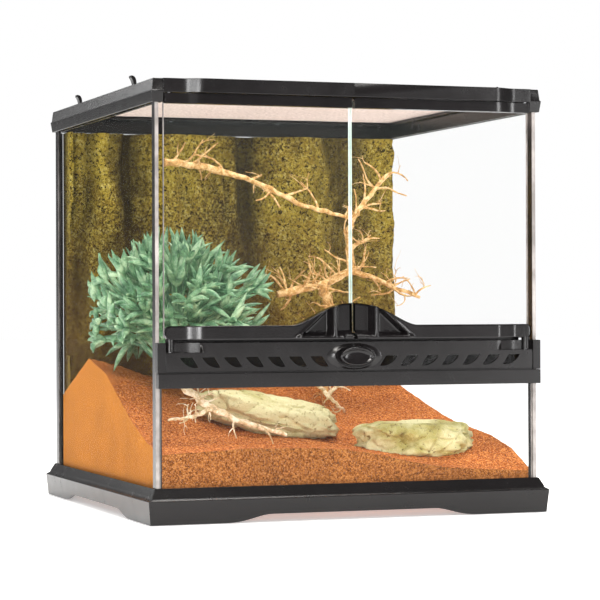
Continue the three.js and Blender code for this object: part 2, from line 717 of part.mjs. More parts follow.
function makeLid() {
  const bottom = seat_z + fit_gap;
  const top = bottom + lid_height;
  const pocket_z = bottom + lid_mesh_pocket;
  const opening = lidBlock(lid_rail_width, [bottom - 1, top + 1]);
  const pocket = lidBlock(lid_mesh_inset, [bottom - 1, pocket_z]);
  let frame = cut(lidBlock(0, [bottom, top]), opening, pocket);
  const root = half_width - latch_axle_inset;
  const axle_z = rim_height + fit_gap + latch_arm_thickness / 2;
  for (const [, side, y] of latchPlaces()) {
    for (const way of [-1, 1]) {
      const near = y + way * (latch_width / 2 + fit_gap);
      const xs = [side * root - 1.9, side * root + 1.9];
      const ear = block(xs, [near, near + way * latch_ear], [top - 1, axle_z + 1.9]);
      frame = join(frame, ear);
    }
    const far = latch_width / 2 + latch_ear + 1;
    frame = cut(frame, axle(latch_axle_radius + pin_clearance, side * root, axle_z, y - far, y + far, 10));
  }
  place('screen_frame', frame, plastic);
  const mesh_top = pocket_z - fit_gap;
  const mesh = lidBlock(lid_mesh_inset + fit_gap, [mesh_top - lid_mesh_thickness, mesh_top]);
  place('screen_mesh', mesh, wire_mesh);
  const bar_x = half_width - shelf_inset - lid_gap - lid_rail_width - fit_gap;
  const bar_y = [crossbar_offset - crossbar_width / 2, crossbar_offset + crossbar_width / 2];
  place('screen_crossbar', block([-bar_x, bar_x], bar_y, [pocket_z, top - 0.5]), plastic);
}

// Latch levers on the lid: an arm over the rail with a finger hook curling outward.
function latchOutline(side) {
  const low = rim_height + fit_gap;
  const root = half_width - latch_axle_inset;
  const tip = root + latch_arm;
  const top = low + latch_arm_thickness + latch_hook_height;
  const shape = new THREE.Shape();
  const p = (x, z) => [side * x, z];
  shape.moveTo(...p(root - 1, low));
  shape.lineTo(...p(tip, low));
  shape.quadraticCurveTo(...p(tip + 1.6, top - 4), ...p(tip + latch_curl, top - 2.4));
  shape.lineTo(...p(tip + latch_curl, top));
  const hook_back = tip - latch_hook_thickness;
  shape.quadraticCurveTo(...p(hook_back, top + 0.4), ...p(hook_back, low + latch_arm_thickness));
  shape.lineTo(...p(root - 1, low + latch_arm_thickness));
  return shape;
}

function makeLatches() {
  const root = half_width - latch_axle_inset;
  const axle_z = rim_height + fit_gap + latch_arm_thickness / 2;
  const reach = latch_width / 2 + fit_gap + latch_ear;
  for (const [name, side, y] of latchPlaces()) {
    const lever = frontal(latchOutline(side), y - latch_width / 2, y + latch_width / 2);
    const pivot = axle(latch_axle_radius, side * root, axle_z, y - reach, y + reach, 10);
    place(`latch_${name}`, join(lever, pivot), plastic);
  }
}

// ---- Furnishing ------------------------------------------------------------------------------
// A place in the habitat: u runs -1..1 across it, v runs 0..1 from the front to the back.
function spot(u, v) {
  return [u * inner_half_width, -inner_half_depth + v * 2 * inner_half_depth];
}

// Front face of the moulded background in plan, with a little extra gap before it if asked.
function backgroundFace(gap = 0) {
  const left = [[-1, 17], [-0.8, 27], [-0.6, 15], [-0.42, 33], [-0.15, 27]];
  const depths = [...left, [0.12, 19], [0.4, 35], [0.7, 29], [1, 35]];
  const reach = inner_half_width - background_side_gap;
  const knots = depths.map(([u, t]) => new THREE.Vector2(u * reach, inner_half_depth - t - gap));
  return new THREE.SplineCurve(knots).getPoints(32).map((p) => [p.x, p.y]);
}

function makeBackground() {
  const reach = inner_half_width - background_side_gap;
  const rear = inner_half_depth - fit_gap;
  const plan = [...backgroundFace(), [reach, rear], [-reach, rear]];
  const bottom = floor_z + fit_gap;
  place('rock_background', upright(plan, bottom, rail_foot - background_top_gap), foam);
}

// Height of the sand over the floor pane's lower face, blended between a few chosen knots.
const sand_rows = [0, 0.12, 0.25, 0.5, 0.68, 1];
const sand_heights = [
  [70, 76, 72, 50, 44],
  [82, 80, 73, 58, 66],
  [102, 86, 76, 68, 78],
  [150, 112, 90, 84, 88],
  [166, 132, 112, 100, 104],
  [112, 134, 146, 140, 134],
];

function sandHeight(u, v) {
  let row = 0;
  while (row < sand_rows.length - 2 && v > sand_rows[row + 1]) row++;
  const across = ((u + 1) / 2) * 4;
  const column = Math.min(3, Math.floor(across));
  const s = THREE.MathUtils.smoothstep(across - column, -0.2, 1.2);
  const t = (v - sand_rows[row]) / (sand_rows[row + 1] - sand_rows[row]);
  const lerp = THREE.MathUtils.lerp;
  const near = lerp(sand_heights[row][column], sand_heights[row][column + 1], s);
  const far = lerp(sand_heights[row + 1][column], sand_heights[row + 1][column + 1], s);
  return lerp(near, far, t);
}

function sandGrid() {
  const cells = 14;
  const bottom = floor_z + sand_floor_gap;
  const positions = [];
  const at = (i, j, up) => {
    const u = -1 + (2 * i) / cells;
    const v = j / cells;
    const [x, y] = spot(u, v);
    return [x, y, up ? sandHeight(u, v) : bottom];
  };
  const quad = (a, b, c, d) => positions.push(...a, ...b, ...c, ...a, ...c, ...d);
  for (let i = 0; i < cells; i++) {
    for (let j = 0; j < cells; j++) {
      quad(at(i, j, true), at(i + 1, j, true), at(i + 1, j + 1, true), at(i, j + 1, true));
      quad(at(i, j, false), at(i, j + 1, false), at(i + 1, j + 1, false), at(i + 1, j, false));
    }
    quad(at(i, 0, false), at(i + 1, 0, false), at(i + 1, 0, true), at(i, 0, true));
    quad(at(i + 1, cells, false), at(i, cells, false), at(i, cells, true), at(i + 1, cells, true));
    quad(at(0, i + 1, false), at(0, i, false), at(0, i, true), at(0, i + 1, true));
    quad(at(cells, i, false), at(cells, i + 1, false), at(cells, i + 1, true), at(cells, i, true));
  }
  const geometry = new THREE.BufferGeometry();
  geometry.setAttribute('position', new THREE.BufferAttribute(new Float32Array(positions), 3));
  return solid(geometry);
}

// A smooth flat stone, leaning down to the right.
function baskingRock(grow) {
  const [x, y] = spot(-0.2, 0.31);
  const radii = [basking_half_width + grow, basking_half_depth + grow, basking_half_height + grow];
  const stone_shape = new THREE.IcosahedronGeometry(1, 2).scale(...radii).rotateY(basking_tilt);
  return solid(stone_shape.translate(x, y, sandHeight(-0.2, 0.31) + basking_lift));
}

// A rough block of stone, its top hollowed to a shallow bowl.
function feedingRock(grow) {
  const [x, y] = spot(0.5, 0.18);
  const shape = new THREE.Shape();
  shape.absellipse(0, 0, feeding_half_width - feeding_round + grow, feeding_half_depth - feeding_round + grow,
    0, 2 * Math.PI, false, 0);
  const options = {
    depth: feeding_height - 2 * feeding_round + 2 * grow,
    bevelEnabled: true,
    bevelSize: feeding_round,
    bevelThickness: feeding_round,
    bevelSegments: 2,
    curveSegments: 7,
  };
  const bottom = sandHeight(0.5, 0.18) - feeding_sink + feeding_round - grow;
  return solid(new THREE.ExtrudeGeometry(shape, options).translate(x, y, bottom));
}

function makeRocks() {
  place('basking_rock', baskingRock(0), stone);
  const [x, y] = spot(0.5, 0.18);
  const top = sandHeight(0.5, 0.18) - feeding_sink + feeding_height;
  const bowl_radii = [feeding_half_width * 0.6, feeding_half_depth * 0.6, feeding_bowl_depth];
  place('feeding_rock', cut(feedingRock(0), ellipsoid(bowl_radii, [x, y, top])), stone);
}

// Stops as (across, deep, height); the driftwood's heights are measured down from the upper rails.
function branchPath(stops, hangs) {
  return stops.map(([u, v, z]) => [...spot(u, v), hangs ? rail_foot - z : z]);
}

// Branches as [radius, stops].
const driftwood = [
  [branch_radius, [[-0.5, 0.8, 39], [-0.24, 0.8, 44], [0.05, 0.79, 62], [0.32, 0.78, 87], [0.6, 0.76, 104]]],
  [branch_radius, [[0.6, 0.76, 168], [0.58, 0.77, 130], [0.6, 0.76, 104], [0.7, 0.77, 78], [0.82, 0.79, 52]]],
  [branch_radius,
    [[0.1, 0.7, 194], [0.38, 0.72, 182], [0.6, 0.76, 168], [0.78, 0.7, 184], [0.93, 0.66, 198]]],
  [branch_radius, [[0.38, 0.72, 182], [0.4, 0.7, 215], [0.34, 0.67, 250], [0.36, 0.66, 308]]],
];
const lower_branch = [
  [branch_radius, [[-0.8, 0.11, 138], [-0.68, 0.1, 118], [-0.5, 0.09, 100], [-0.28, 0.085, 86]]],
  [twig_radius, [[-0.66, 0.1, 115], [-0.78, 0.09, 108], [-0.9, 0.09, 104]]],
];
const small_branch = [
  [twig_radius, [[0.04, 0.34, 146], [0.1, 0.3, 124], [0.16, 0.3, 112], [0.24, 0.36, 104]]],
  [twig_radius, [[0.1, 0.3, 124], [0.15, 0.28, 136], [0.17, 0.27, 148]]],
];

function branches(list, grow, hangs = false) {
  return join(...list.map(([radius, stops]) => rod(branchPath(stops, hangs), radius + grow)));
}

function plantBody(grow) {
  const [x, y] = spot(-0.54, 0.54);
  const centre = sandHeight(-0.54, 0.54) + plant_half_height + plant_lift;
  const radii = [plant_half_width, plant_half_depth, plant_half_height].map((radius) => radius + grow);
  const root = centre - plant_half_height - plant_root - grow;
  return join(ellipsoid(radii, [x, y, centre]), post(plant_stem_radius + grow, x, y, root, centre, 12));
}

function makeFurnishing() {
  makeBackground();
  makeRocks();
  place('upper_driftwood', branches(driftwood, 0, true), wood);
  place('lower_branch', branches(lower_branch, 0), wood);
  place('small_branch', branches(small_branch, 0), wood);
  place('succulent_plant', plantBody(0), leaf);
  const gap = sand_floor_gap;
  const x = inner_half_width - gap;
  const y = -inner_half_depth + gap;
  const corner = bead + 1;
  const rear = backgroundFace(gap);
  const plan = [[-x, y + corner], [-x + corner, y], [x - corner, y], [x, y + corner], ...rear.reverse()];
  const bed = sandGrid().intersect(upright(plan, 0, rim_height));
  const sticks = [branches(driftwood, gap, true), branches(lower_branch, gap), branches(small_branch, gap)];
  place('sand_bed', cut(bed, baskingRock(gap), feedingRock(gap), ...sticks, plantBody(gap)), sand);
}

makeBase();
makePanes();
makeTopFrame();
makeShutters();
makeStrip();
makeCheeks();
makePins();
makeDoors();
makeLock();
makeLid();
makeLatches();
makeFurnishing();

export default tank;
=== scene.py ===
"""Front-opening glass terrarium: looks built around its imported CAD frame, in metres, +Z up, doors to -Y."""

import logging
import math
import random
from dataclasses import dataclass, field
from enum import Enum
from typing import Callable, Iterable, Sequence

import bmesh
import bpy
from mathutils import Matrix, Vector, noise


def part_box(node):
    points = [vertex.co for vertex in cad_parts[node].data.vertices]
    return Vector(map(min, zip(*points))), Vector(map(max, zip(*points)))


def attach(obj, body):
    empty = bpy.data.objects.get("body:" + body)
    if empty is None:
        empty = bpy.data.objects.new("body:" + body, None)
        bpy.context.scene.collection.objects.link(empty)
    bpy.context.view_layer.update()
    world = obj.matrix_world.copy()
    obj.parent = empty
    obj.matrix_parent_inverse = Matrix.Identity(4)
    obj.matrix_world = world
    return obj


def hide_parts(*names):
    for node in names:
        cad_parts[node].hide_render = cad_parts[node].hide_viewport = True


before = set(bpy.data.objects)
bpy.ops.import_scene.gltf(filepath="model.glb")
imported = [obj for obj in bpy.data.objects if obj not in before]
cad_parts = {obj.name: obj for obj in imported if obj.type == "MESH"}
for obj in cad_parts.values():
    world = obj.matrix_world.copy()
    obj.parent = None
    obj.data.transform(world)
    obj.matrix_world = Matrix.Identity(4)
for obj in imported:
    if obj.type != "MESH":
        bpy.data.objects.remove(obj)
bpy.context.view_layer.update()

MM = 0.001
LOG = logging.getLogger("terrarium")
Colour = tuple[float, float, float]


class Side(Enum):
    """The two halves of a mirrored pair, with the sign of their x."""

    LEFT = -1
    RIGHT = 1

    @property
    def word(self) -> str:
        """The side's name as the nodes spell it."""
        return self.name.lower()


class EdgeLook(Enum):
    """How a pane's cut edges look from outside."""

    GREEN = "green"
    GREY = "grey"
    SMOKED = "smoked"


def clamp(value: float, low: float = 0.0, high: float = 1.0) -> float:
    """Limits a value to a range."""
    return max(low, min(high, value))


def soft(start: float, end: float, value: float) -> float:
    """Smooth step from 0 at start to 1 at end, in either direction."""
    share = clamp((value - start) / (end - start))
    return share * share * (3 - 2 * share)


def lerp(a: float, b: float, share: float) -> float:
    """Straight blend from a to b."""
    return a + (b - a) * share


def fractal(point: Vector, scale: float, octaves: int = 4) -> float:
    """Layered noise of about -1 to 1.

    Args:
        point: Place in metres.
        scale: Features per metre of the coarsest layer.
        octaves: Number of layers, each twice as fine.

    Returns:
        The sum of the layers.
    """
    return noise.fractal(point * scale, 1.0, 2.0, octaves, noise_basis="PERLIN_ORIGINAL")


# ---- Finishes ---------------------------------------------------------------------------------


class Graph:
    """The node tree of one finish, with short ways to add and join nodes."""

    def __init__(self, name: str) -> None:
        """Starts a material of that name with an empty shader.

        Args:
            name: The material's name.
        """
        self.material = bpy.data.materials.new(name)
        self.material.use_nodes = True
        self.nodes = self.material.node_tree.nodes
        self.links = self.material.node_tree.links
        self.shader = self.nodes["Principled BSDF"]
        self.coords = self.nodes.new("ShaderNodeTexCoord").outputs["Object"]

    def feed(self, socket: bpy.types.NodeSocket, value: object) -> None:
        """Links a socket, or sets a plain value, into an input.

        Args:
            socket: The input.
            value: A socket or a plain value.
        """
        if isinstance(value, bpy.types.NodeSocket):
            self.links.new(value, socket)
        else:
            socket.default_value = value

    def set(self, **values: object) -> None:
        """Feeds the shader's inputs, named with underscores for spaces."""
        for name, value in values.items():
            self.feed(self.shader.inputs[name.replace("_", " ")], value)

    def stretch(self, scale: Sequence[float]) -> bpy.types.NodeSocket:
        """Object coordinates scaled by axis.

        Args:
            scale: The scale of each axis.

        Returns:
            The node's output socket.
        """
        node = self.nodes.new("ShaderNodeMapping")
        self.feed(node.inputs["Vector"], self.coords)
        node.inputs["Scale"].default_value = scale
        return node.outputs["Vector"]

    def noise(self, scale: float, detail: float = 3.0, rough: float = 0.6,
              vector: bpy.types.NodeSocket | None = None) -> bpy.types.NodeSocket:
        """Noise of that many features a metre.

        Args:
            scale: Features a metre.
            detail: Octaves of finer noise.
            rough: Share of the finer noise.
            vector: Coordinates, or None for the object coordinates.

        Returns:
            The node's output socket.
        """
        node = self.nodes.new("ShaderNodeTexNoise")
        self.feed(node.inputs["Vector"], vector or self.coords)
        node.inputs["Scale"].default_value = scale
        node.inputs["Detail"].default_value = detail
        node.inputs["Roughness"].default_value = rough
        return node.outputs["Fac"]

    def ramp(self, factor: bpy.types.NodeSocket,
             stops: Sequence[tuple[float, Colour | float]]) -> bpy.types.NodeSocket:
        """A colour ramp.

        Args:
            factor: What drives it.
            stops: Places along it, each with a colour or a grey level.

        Returns:
            The ramp's colour socket.
        """
        node = self.nodes.new("ShaderNodeValToRGB")
        self.links.new(factor, node.inputs["Fac"])
        band = node.color_ramp
        while len(band.elements) < len(stops):
            band.elements.new(0.5)
        for element, (place, colour) in zip(band.elements, stops):
            element.position = place
            tone = (colour,) * 3 if isinstance(colour, float) else colour
            element.color = (*tone, 1.0)
        return node.outputs["Color"]

    def mix(self, factor: object, a: object, b: object, mode: str = "MIX") -> bpy.types.NodeSocket:
        """Blends two colours by a factor.

        Args:
            factor: How much of the second colour.
            a: First colour, or a socket.
            b: Second colour, or a socket.
            mode: How they blend.

        Returns:
            The node's output socket.
        """
        node = self.nodes.new("ShaderNodeMix")
        node.data_type = "RGBA"
        node.blend_type = mode
        self.feed(node.inputs[0], factor)
        for socket, value in ((node.inputs[6], a), (node.inputs[7], b)):
            self.feed(socket, (*value, 1.0) if isinstance(value, tuple) else value)
        return node.outputs[2]

    def span(self, factor: bpy.types.NodeSocket, low: float, high: float) -> bpy.types.NodeSocket:
        """Maps 0..1 to low..high.

        Args:
            factor: What is mapped.
            low: Result at 0.
            high: Result at 1.

        Returns:
            The node's output socket.
        """
        node = self.nodes.new("ShaderNodeMapRange")
        self.links.new(factor, node.inputs["Value"])
        node.inputs["To Min"].default_value = low
        node.inputs["To Max"].default_value = high
        return node.outputs["Result"]

    def axis(self, name: str, start: float, end: float) -> bpy.types.NodeSocket:
        """0 to 1 as the object coordinate of that axis runs from start to end.

        Args:
            name: The axis's letter.
            start: Coordinate that gives 0, in metres.
            end: Coordinate that gives 1.

        Returns:
            The node's output socket.
        """
        split = self.nodes.new("ShaderNodeSeparateXYZ")
        self.links.new(self.coords, split.inputs[0])
        node = self.nodes.new("ShaderNodeMapRange")
        self.links.new(split.outputs[name], node.inputs["Value"])
        node.inputs["From Min"].default_value = start
        node.inputs["From Max"].default_value = end
        return node.outputs["Result"]

    def relief(self, height: bpy.types.NodeSocket, strength: float, depth: float) -> None:
        """Bumps the shader's normal by a height, its full depth given in metres.

        Args:
            height: The height.
            strength: Share of the bump that shows.
            depth: Full depth in metres.
        """
        node = self.nodes.new("ShaderNodeBump")
        node.inputs["Strength"].default_value = strength
        node.inputs["Distance"].default_value = depth
        self.links.new(height, node.inputs["Height"])
        self.links.new(node.outputs["Normal"], self.shader.inputs["Normal"])


@dataclass(frozen=True)
class MouldedPlastic:
    """Satin black moulded plastic with a fine grain and faint dust."""

    name: str = "frame_plastic"
    dark: Colour = (0.0042, 0.0036, 0.0038)
    light: Colour = (0.0085, 0.0072, 0.0076)
    gloss: float = 0.24
    grain: float = 1500.0

    def build(self) -> bpy.types.Material:
        """Makes the material.

        Returns:
            The material.
        """
        g = Graph(self.name)
        cloud = g.noise(14.0, 4.0)
        g.set(Base_Color=g.ramp(cloud, [(0.3, self.dark), (0.7, self.light)]))
        g.set(Roughness=g.span(g.noise(60.0, 5.0), self.gloss - 0.05, self.gloss + 0.08))
        g.set(Specular_IOR_Level=0.38)
        g.relief(g.noise(self.grain, 2.0), 0.18, 0.0002)
        return g.material


@dataclass(frozen=True)
class FloatGlass:
    """Clear float glass: a thin tint with a faint wiped haze in its gloss."""

    name: str = "clear_glass"
    tint: Colour = (0.30, 0.36, 0.34)
    cover: float = 0.013

    def build(self) -> bpy.types.Material:
        """Makes the material.

        Returns:
            The material.
        """
        g = Graph(self.name)
        g.set(Base_Color=g.mix(g.noise(6.0, 2.0), self.tint, (0.40, 0.45, 0.43)))
        g.set(Roughness=g.span(g.noise(18.0, 3.0), 0.02, 0.07))
        g.set(Alpha=self.cover, IOR=1.52, Specular_IOR_Level=0.5)
        return g.material


@dataclass(frozen=True)
class CutEdge:
    """The ground edge of a pane, where light runs through the glass's width."""

    name: str
    deep: Colour
    bright: Colour

    def build(self) -> bpy.types.Material:
        """Makes the material.

        Returns:
            The material.
        """
        g = Graph(self.name)
        g.set(Base_Color=g.ramp(g.noise(30.0, 3.0), [(0.35, self.deep), (0.65, self.bright)]))
        g.set(Roughness=g.span(g.noise(300.0, 2.0), 0.12, 0.3))
        g.relief(g.noise(900.0, 1.0, vector=g.stretch((1, 1, 0.1))), 0.1, 0.0002)
        return g.material


@dataclass(frozen=True)
class Sealant:
    """Black silicone, tooled smooth by a finger."""

    name: str = "silicone"

    def build(self) -> bpy.types.Material:
        """Makes the material.

        Returns:
            The material.
        """
        g = Graph(self.name)
        g.set(Base_Color=g.ramp(g.noise(40.0), [(0.3, (0.006, 0.006, 0.007)), (0.7, (0.016, 0.016, 0.018))]))
        g.set(Roughness=g.span(g.noise(120.0), 0.35, 0.55))
        g.relief(g.noise(180.0, 2.0, vector=g.stretch((1, 1, 0.15))), 0.3, 0.0005)
        return g.material


@dataclass(frozen=True)
class DrawnSteel:
    """Bare drawn wire of the hinge pins."""

    name: str = "pin_steel"

    def build(self) -> bpy.types.Material:
        """Makes the material.

        Returns:
            The material.
        """
        g = Graph(self.name)
        streaks = g.noise(900.0, 3.0, vector=g.stretch((1, 1, 0.05)))
        g.set(Base_Color=g.ramp(streaks, [(0.3, (0.42, 0.42, 0.44)), (0.7, (0.62, 0.62, 0.64))]))
        g.set(Metallic=1.0, Roughness=g.span(streaks, 0.22, 0.42))
        return g.material


@dataclass(frozen=True)
class ScreenWire:
    """Coated wire of a woven screen, with an optional glow that is painted light."""

    name: str
    dark: Colour
    light: Colour
    glow: float = 0.0

    def build(self) -> bpy.types.Material:
        """Makes the material.

        Returns:
            The material.
        """
        g = Graph(self.name)
        g.set(Base_Color=g.ramp(g.noise(260.0, 3.0), [(0.35, self.dark), (0.65, self.light)]))
        # The glow is painted light: it brightens the wire where it would lie in shade.
        g.set(Emission_Color=(*self.light, 1.0), Emission_Strength=self.glow)
        g.set(Metallic=0.15, Roughness=g.span(g.noise(90.0), 0.34, 0.5))
        g.relief(g.noise(1800.0, 1.0), 0.2, 0.0001)
        return g.material


@dataclass(frozen=True)
class RockFoam:
    """Moulded foam painted as weathered rock: olive and ochre stipple over brown, with dark pits, painted
    shade in vertical folds and painted shade on its deeper parts.
    """

    name: str = "background_foam"

    def build(self) -> bpy.types.Material:
        """Makes the material.

        Returns:
            The material.
        """
        g = Graph(self.name)
        broad = g.noise(11.0, 4.0, 0.65)
        ground = g.ramp(broad, [(0.32, (0.085, 0.052, 0.012)), (0.46, (0.21, 0.14, 0.020)),
                                (0.60, (0.34, 0.25, 0.030)), (0.75, (0.46, 0.37, 0.10))])
        stipple = g.ramp(g.noise(340.0, 3.0, 0.85), [(0.44, 0.0), (0.54, 1.0)])
        fresh = g.ramp(g.noise(120.0, 3.0, 0.8), [(0.36, (0.30, 0.20, 0.028)), (0.52, (0.50, 0.38, 0.05)),
                                                  (0.66, (0.62, 0.52, 0.16))])
        body = g.mix(stipple, ground, fresh)
        pits = g.ramp(g.noise(260.0, 4.0, 0.85), [(0.42, 1.0), (0.48, 0.0)])
        body = g.mix(pits, body, (0.028, 0.017, 0.006))
        # Painted shade: dark vertical streaks stand in for the shadows in the foam's folds.
        folds = g.ramp(g.noise(10.0, 3.0, 0.6, g.stretch((1.0, 1.0, 0.3))), [(0.36, 0.72), (0.50, 0.0)])
        body = g.mix(folds, body, (0.040, 0.028, 0.014))
        # Painted shade: the deeper, recessed parts of the face are darkened as if in shadow.
        rear = g.ramp(g.axis("Y", 0.187, 0.204), [(0.0, 0.0), (1.0, 0.85)])
        body = g.mix(rear, body, (0.022, 0.015, 0.008))
        low = g.ramp(g.axis("Z", 0.16, 0.34), [(0.0, 0.5), (1.0, 0.0)])
        g.set(Base_Color=g.mix(low, body, (0.16, 0.085, 0.030)), Roughness=0.92, Specular_IOR_Level=0.12)
        g.relief(g.noise(280.0, 5.0, 0.8), 1.0, 0.004)
        return g.material


@dataclass(frozen=True)
class LooseSand:
    """Red desert sand: fine grains of mixed tone."""

    name: str
    deep: Colour
    body: Colour
    bright: Colour
    grain: float = 620.0
    relief: float = 0.7

    def build(self) -> bpy.types.Material:
        """Makes the material.

        Returns:
            The material.
        """
        g = Graph(self.name)
        grain = g.noise(self.grain, 3.0, 0.9)
        tone = g.ramp(grain, [(0.38, self.deep), (0.50, self.body), (0.62, self.bright)])
        drift = g.ramp(g.noise(16.0, 3.0), [(0.3, 0.78), (0.7, 1.0)])
        g.set(Base_Color=g.mix(1.0, tone, drift, "MULTIPLY"), Roughness=0.95)
        g.shader.inputs["Specular IOR Level"].default_value = 0.2
        g.relief(g.noise(self.grain * 0.8, 3.0, 0.8), self.relief, 0.0012)
        return g.material


@dataclass(frozen=True)
class PaintedStone:
    """Cast resin stone: pale, mossy and brown tones in broad patches, brown in its pores."""

    name: str
    pale: Colour
    moss: Colour
    brown: Colour
    pore: float
    depth: float

    def build(self) -> bpy.types.Material:
        """Makes the material.

        Returns:
            The material.
        """
        g = Graph(self.name)
        broad = g.noise(15.0, 5.0, 0.6)
        tone = g.ramp(broad, [(0.30, self.brown), (0.41, self.moss), (0.54, self.pale)])
        pores = g.ramp(g.noise(self.pore, 4.0, 0.7), [(0.34, 1.0), (0.42, 0.0)])
        g.set(Base_Color=g.mix(pores, tone, self.brown), Roughness=g.span(g.noise(50.0), 0.45, 0.8))
        g.relief(g.noise(self.pore * 0.7, 5.0, 0.7), 0.8, self.depth)
        return g.material


@dataclass(frozen=True)
class BareWood:
    """Sun-bleached driftwood: cream and honey tones in a fine fibre pattern."""

    name: str
    honey: Colour
    cream: Colour

    def build(self) -> bpy.types.Material:
        """Makes the material.

        Returns:
            The material.
        """
        g = Graph(self.name)
        fibre = g.noise(160.0, 5.0, 0.7)
        tone = g.ramp(fibre, [(0.34, tuple(c * 0.55 for c in self.honey)), (0.46, self.honey),
                              (0.60, self.cream)])
        g.set(Base_Color=tone, Roughness=g.span(g.noise(90.0), 0.5, 0.8))
        g.relief(g.noise(420.0, 4.0, 0.7), 0.6, 0.0012)
        return g.material


@dataclass(frozen=True)
class WaxyLeaf:
    """Fleshy blue-green leaf under a pale waxy bloom."""

    name: str = "leaves"

    def build(self) -> bpy.types.Material:
        """Makes the material.

        Returns:
            The material.
        """
        g = Graph(self.name)
        broad = g.noise(60.0, 4.0, 0.7)
        tone = g.ramp(broad, [(0.34, (0.040, 0.115, 0.050)), (0.45, (0.105, 0.245, 0.120)),
                              (0.54, (0.22, 0.39, 0.21)), (0.64, (0.46, 0.62, 0.38))])
        bloom = g.ramp(g.noise(300.0, 4.0, 0.7), [(0.5, 0.0), (0.75, 0.3)])
        g.set(Base_Color=g.mix(bloom, tone, (0.50, 0.66, 0.54)), Roughness=g.span(g.noise(70.0), 0.34, 0.55))
        g.set(Subsurface_Weight=0.0, Specular_IOR_Level=0.45)
        g.relief(g.noise(160.0, 3.0), 0.25, 0.0008)
        return g.material


@dataclass(frozen=True)
class StudioFloor:
    """Pale seamless paper, lit through from below."""

    name: str = "studio_paper"
    glow: tuple[float, float] = (0.4, 0.8)

    def build(self) -> bpy.types.Material:
        """Makes the material.

        Returns:
            The material.
        """
        g = Graph(self.name)
        g.set(Base_Color=g.ramp(g.noise(3.0), [(0.3, 0.93), (0.7, 0.96)]), Roughness=0.9)
        length = g.nodes.new("ShaderNodeVectorMath")
        length.operation = "LENGTH"
        g.links.new(g.coords, length.inputs[0])
        level = g.nodes.new("ShaderNodeMapRange")
        g.links.new(length.outputs["Value"], level.inputs["Value"])
        for name, value in zip(("From Min", "From Max", "To Min", "To Max"), (0.5, 4.0, *self.glow)):
            level.inputs[name].default_value = value
        g.set(Emission_Color=(1.0, 1.0, 1.0, 1.0), Emission_Strength=level.outputs["Result"])
        g.set(Specular_IOR_Level=0.0)
        return g.material


class Finishes:
    """Every finish of the object, made once."""

    def __init__(self) -> None:
        """Builds them all."""
        self.plastic = MouldedPlastic().build()
        self.gloss_plastic = MouldedPlastic("door_plastic", gloss=0.17).build()
        self.glass = FloatGlass().build()
        self.edges = {
            EdgeLook.GREEN: CutEdge("green_edge", (0.55, 0.70, 0.64), (0.86, 0.94, 0.90)).build(),
            EdgeLook.GREY: CutEdge("grey_edge", (0.22, 0.20, 0.19), (0.46, 0.42, 0.40)).build(),
            EdgeLook.SMOKED: CutEdge("smoked_edge", (0.012, 0.011, 0.012), (0.035, 0.032, 0.034)).build(),
        }
        self.silicone = Sealant().build()
        self.steel = DrawnSteel().build()
        # The lid wire's glow of 0.2 is painted light on the screen's shaded underside.
        self.lid_wire = ScreenWire("wire_mesh", (0.42, 0.34, 0.30), (0.68, 0.58, 0.53), 0.2).build()
        self.vent_wire = ScreenWire("vent_wire", (0.002, 0.002, 0.002), (0.005, 0.005, 0.005)).build()
        self.foam = RockFoam().build()
        sand = ((0.10, 0.020, 0.004), (0.52, 0.125, 0.018), (0.92, 0.40, 0.12))
        self.sand = LooseSand("sand", *sand, grain=430.0, relief=1.0).build()
        # The front face's sand is a darker copy of the same sand: painted shade.
        front_shade_tones = ((0.060, 0.016, 0.004), (0.27, 0.082, 0.013), (0.50, 0.21, 0.055))
        self.shaded_front_sand = LooseSand("shaded_front_sand", *front_shade_tones, grain=560.0, relief=0.4).build()
        # The side faces' sand is a brighter, warmer copy of the same sand: painted light.
        lit_side_tones = ((0.40, 0.12, 0.010), (0.60, 0.205, 0.016), (0.74, 0.30, 0.04))
        self.lit_side_sand = LooseSand("lit_side_sand", *lit_side_tones, relief=0.1).build()
        self.smooth_stone = PaintedStone("smooth_stone", (0.66, 0.60, 0.33), (0.44, 0.39, 0.15),
                                         (0.28, 0.21, 0.07), 240.0, 0.0018).build()
        self.rough_stone = PaintedStone("rough_stone", (0.74, 0.69, 0.38), (0.46, 0.40, 0.12),
                                        (0.20, 0.14, 0.03), 150.0, 0.004).build()
        self.wood = BareWood("driftwood", (0.62, 0.33, 0.09), (0.88, 0.64, 0.32)).build()
        self.pale_wood = BareWood("pale_driftwood", (0.66, 0.46, 0.24), (0.92, 0.80, 0.60)).build()
        self.leaf = WaxyLeaf().build()


# ---- Mesh tools -------------------------------------------------------------------------------


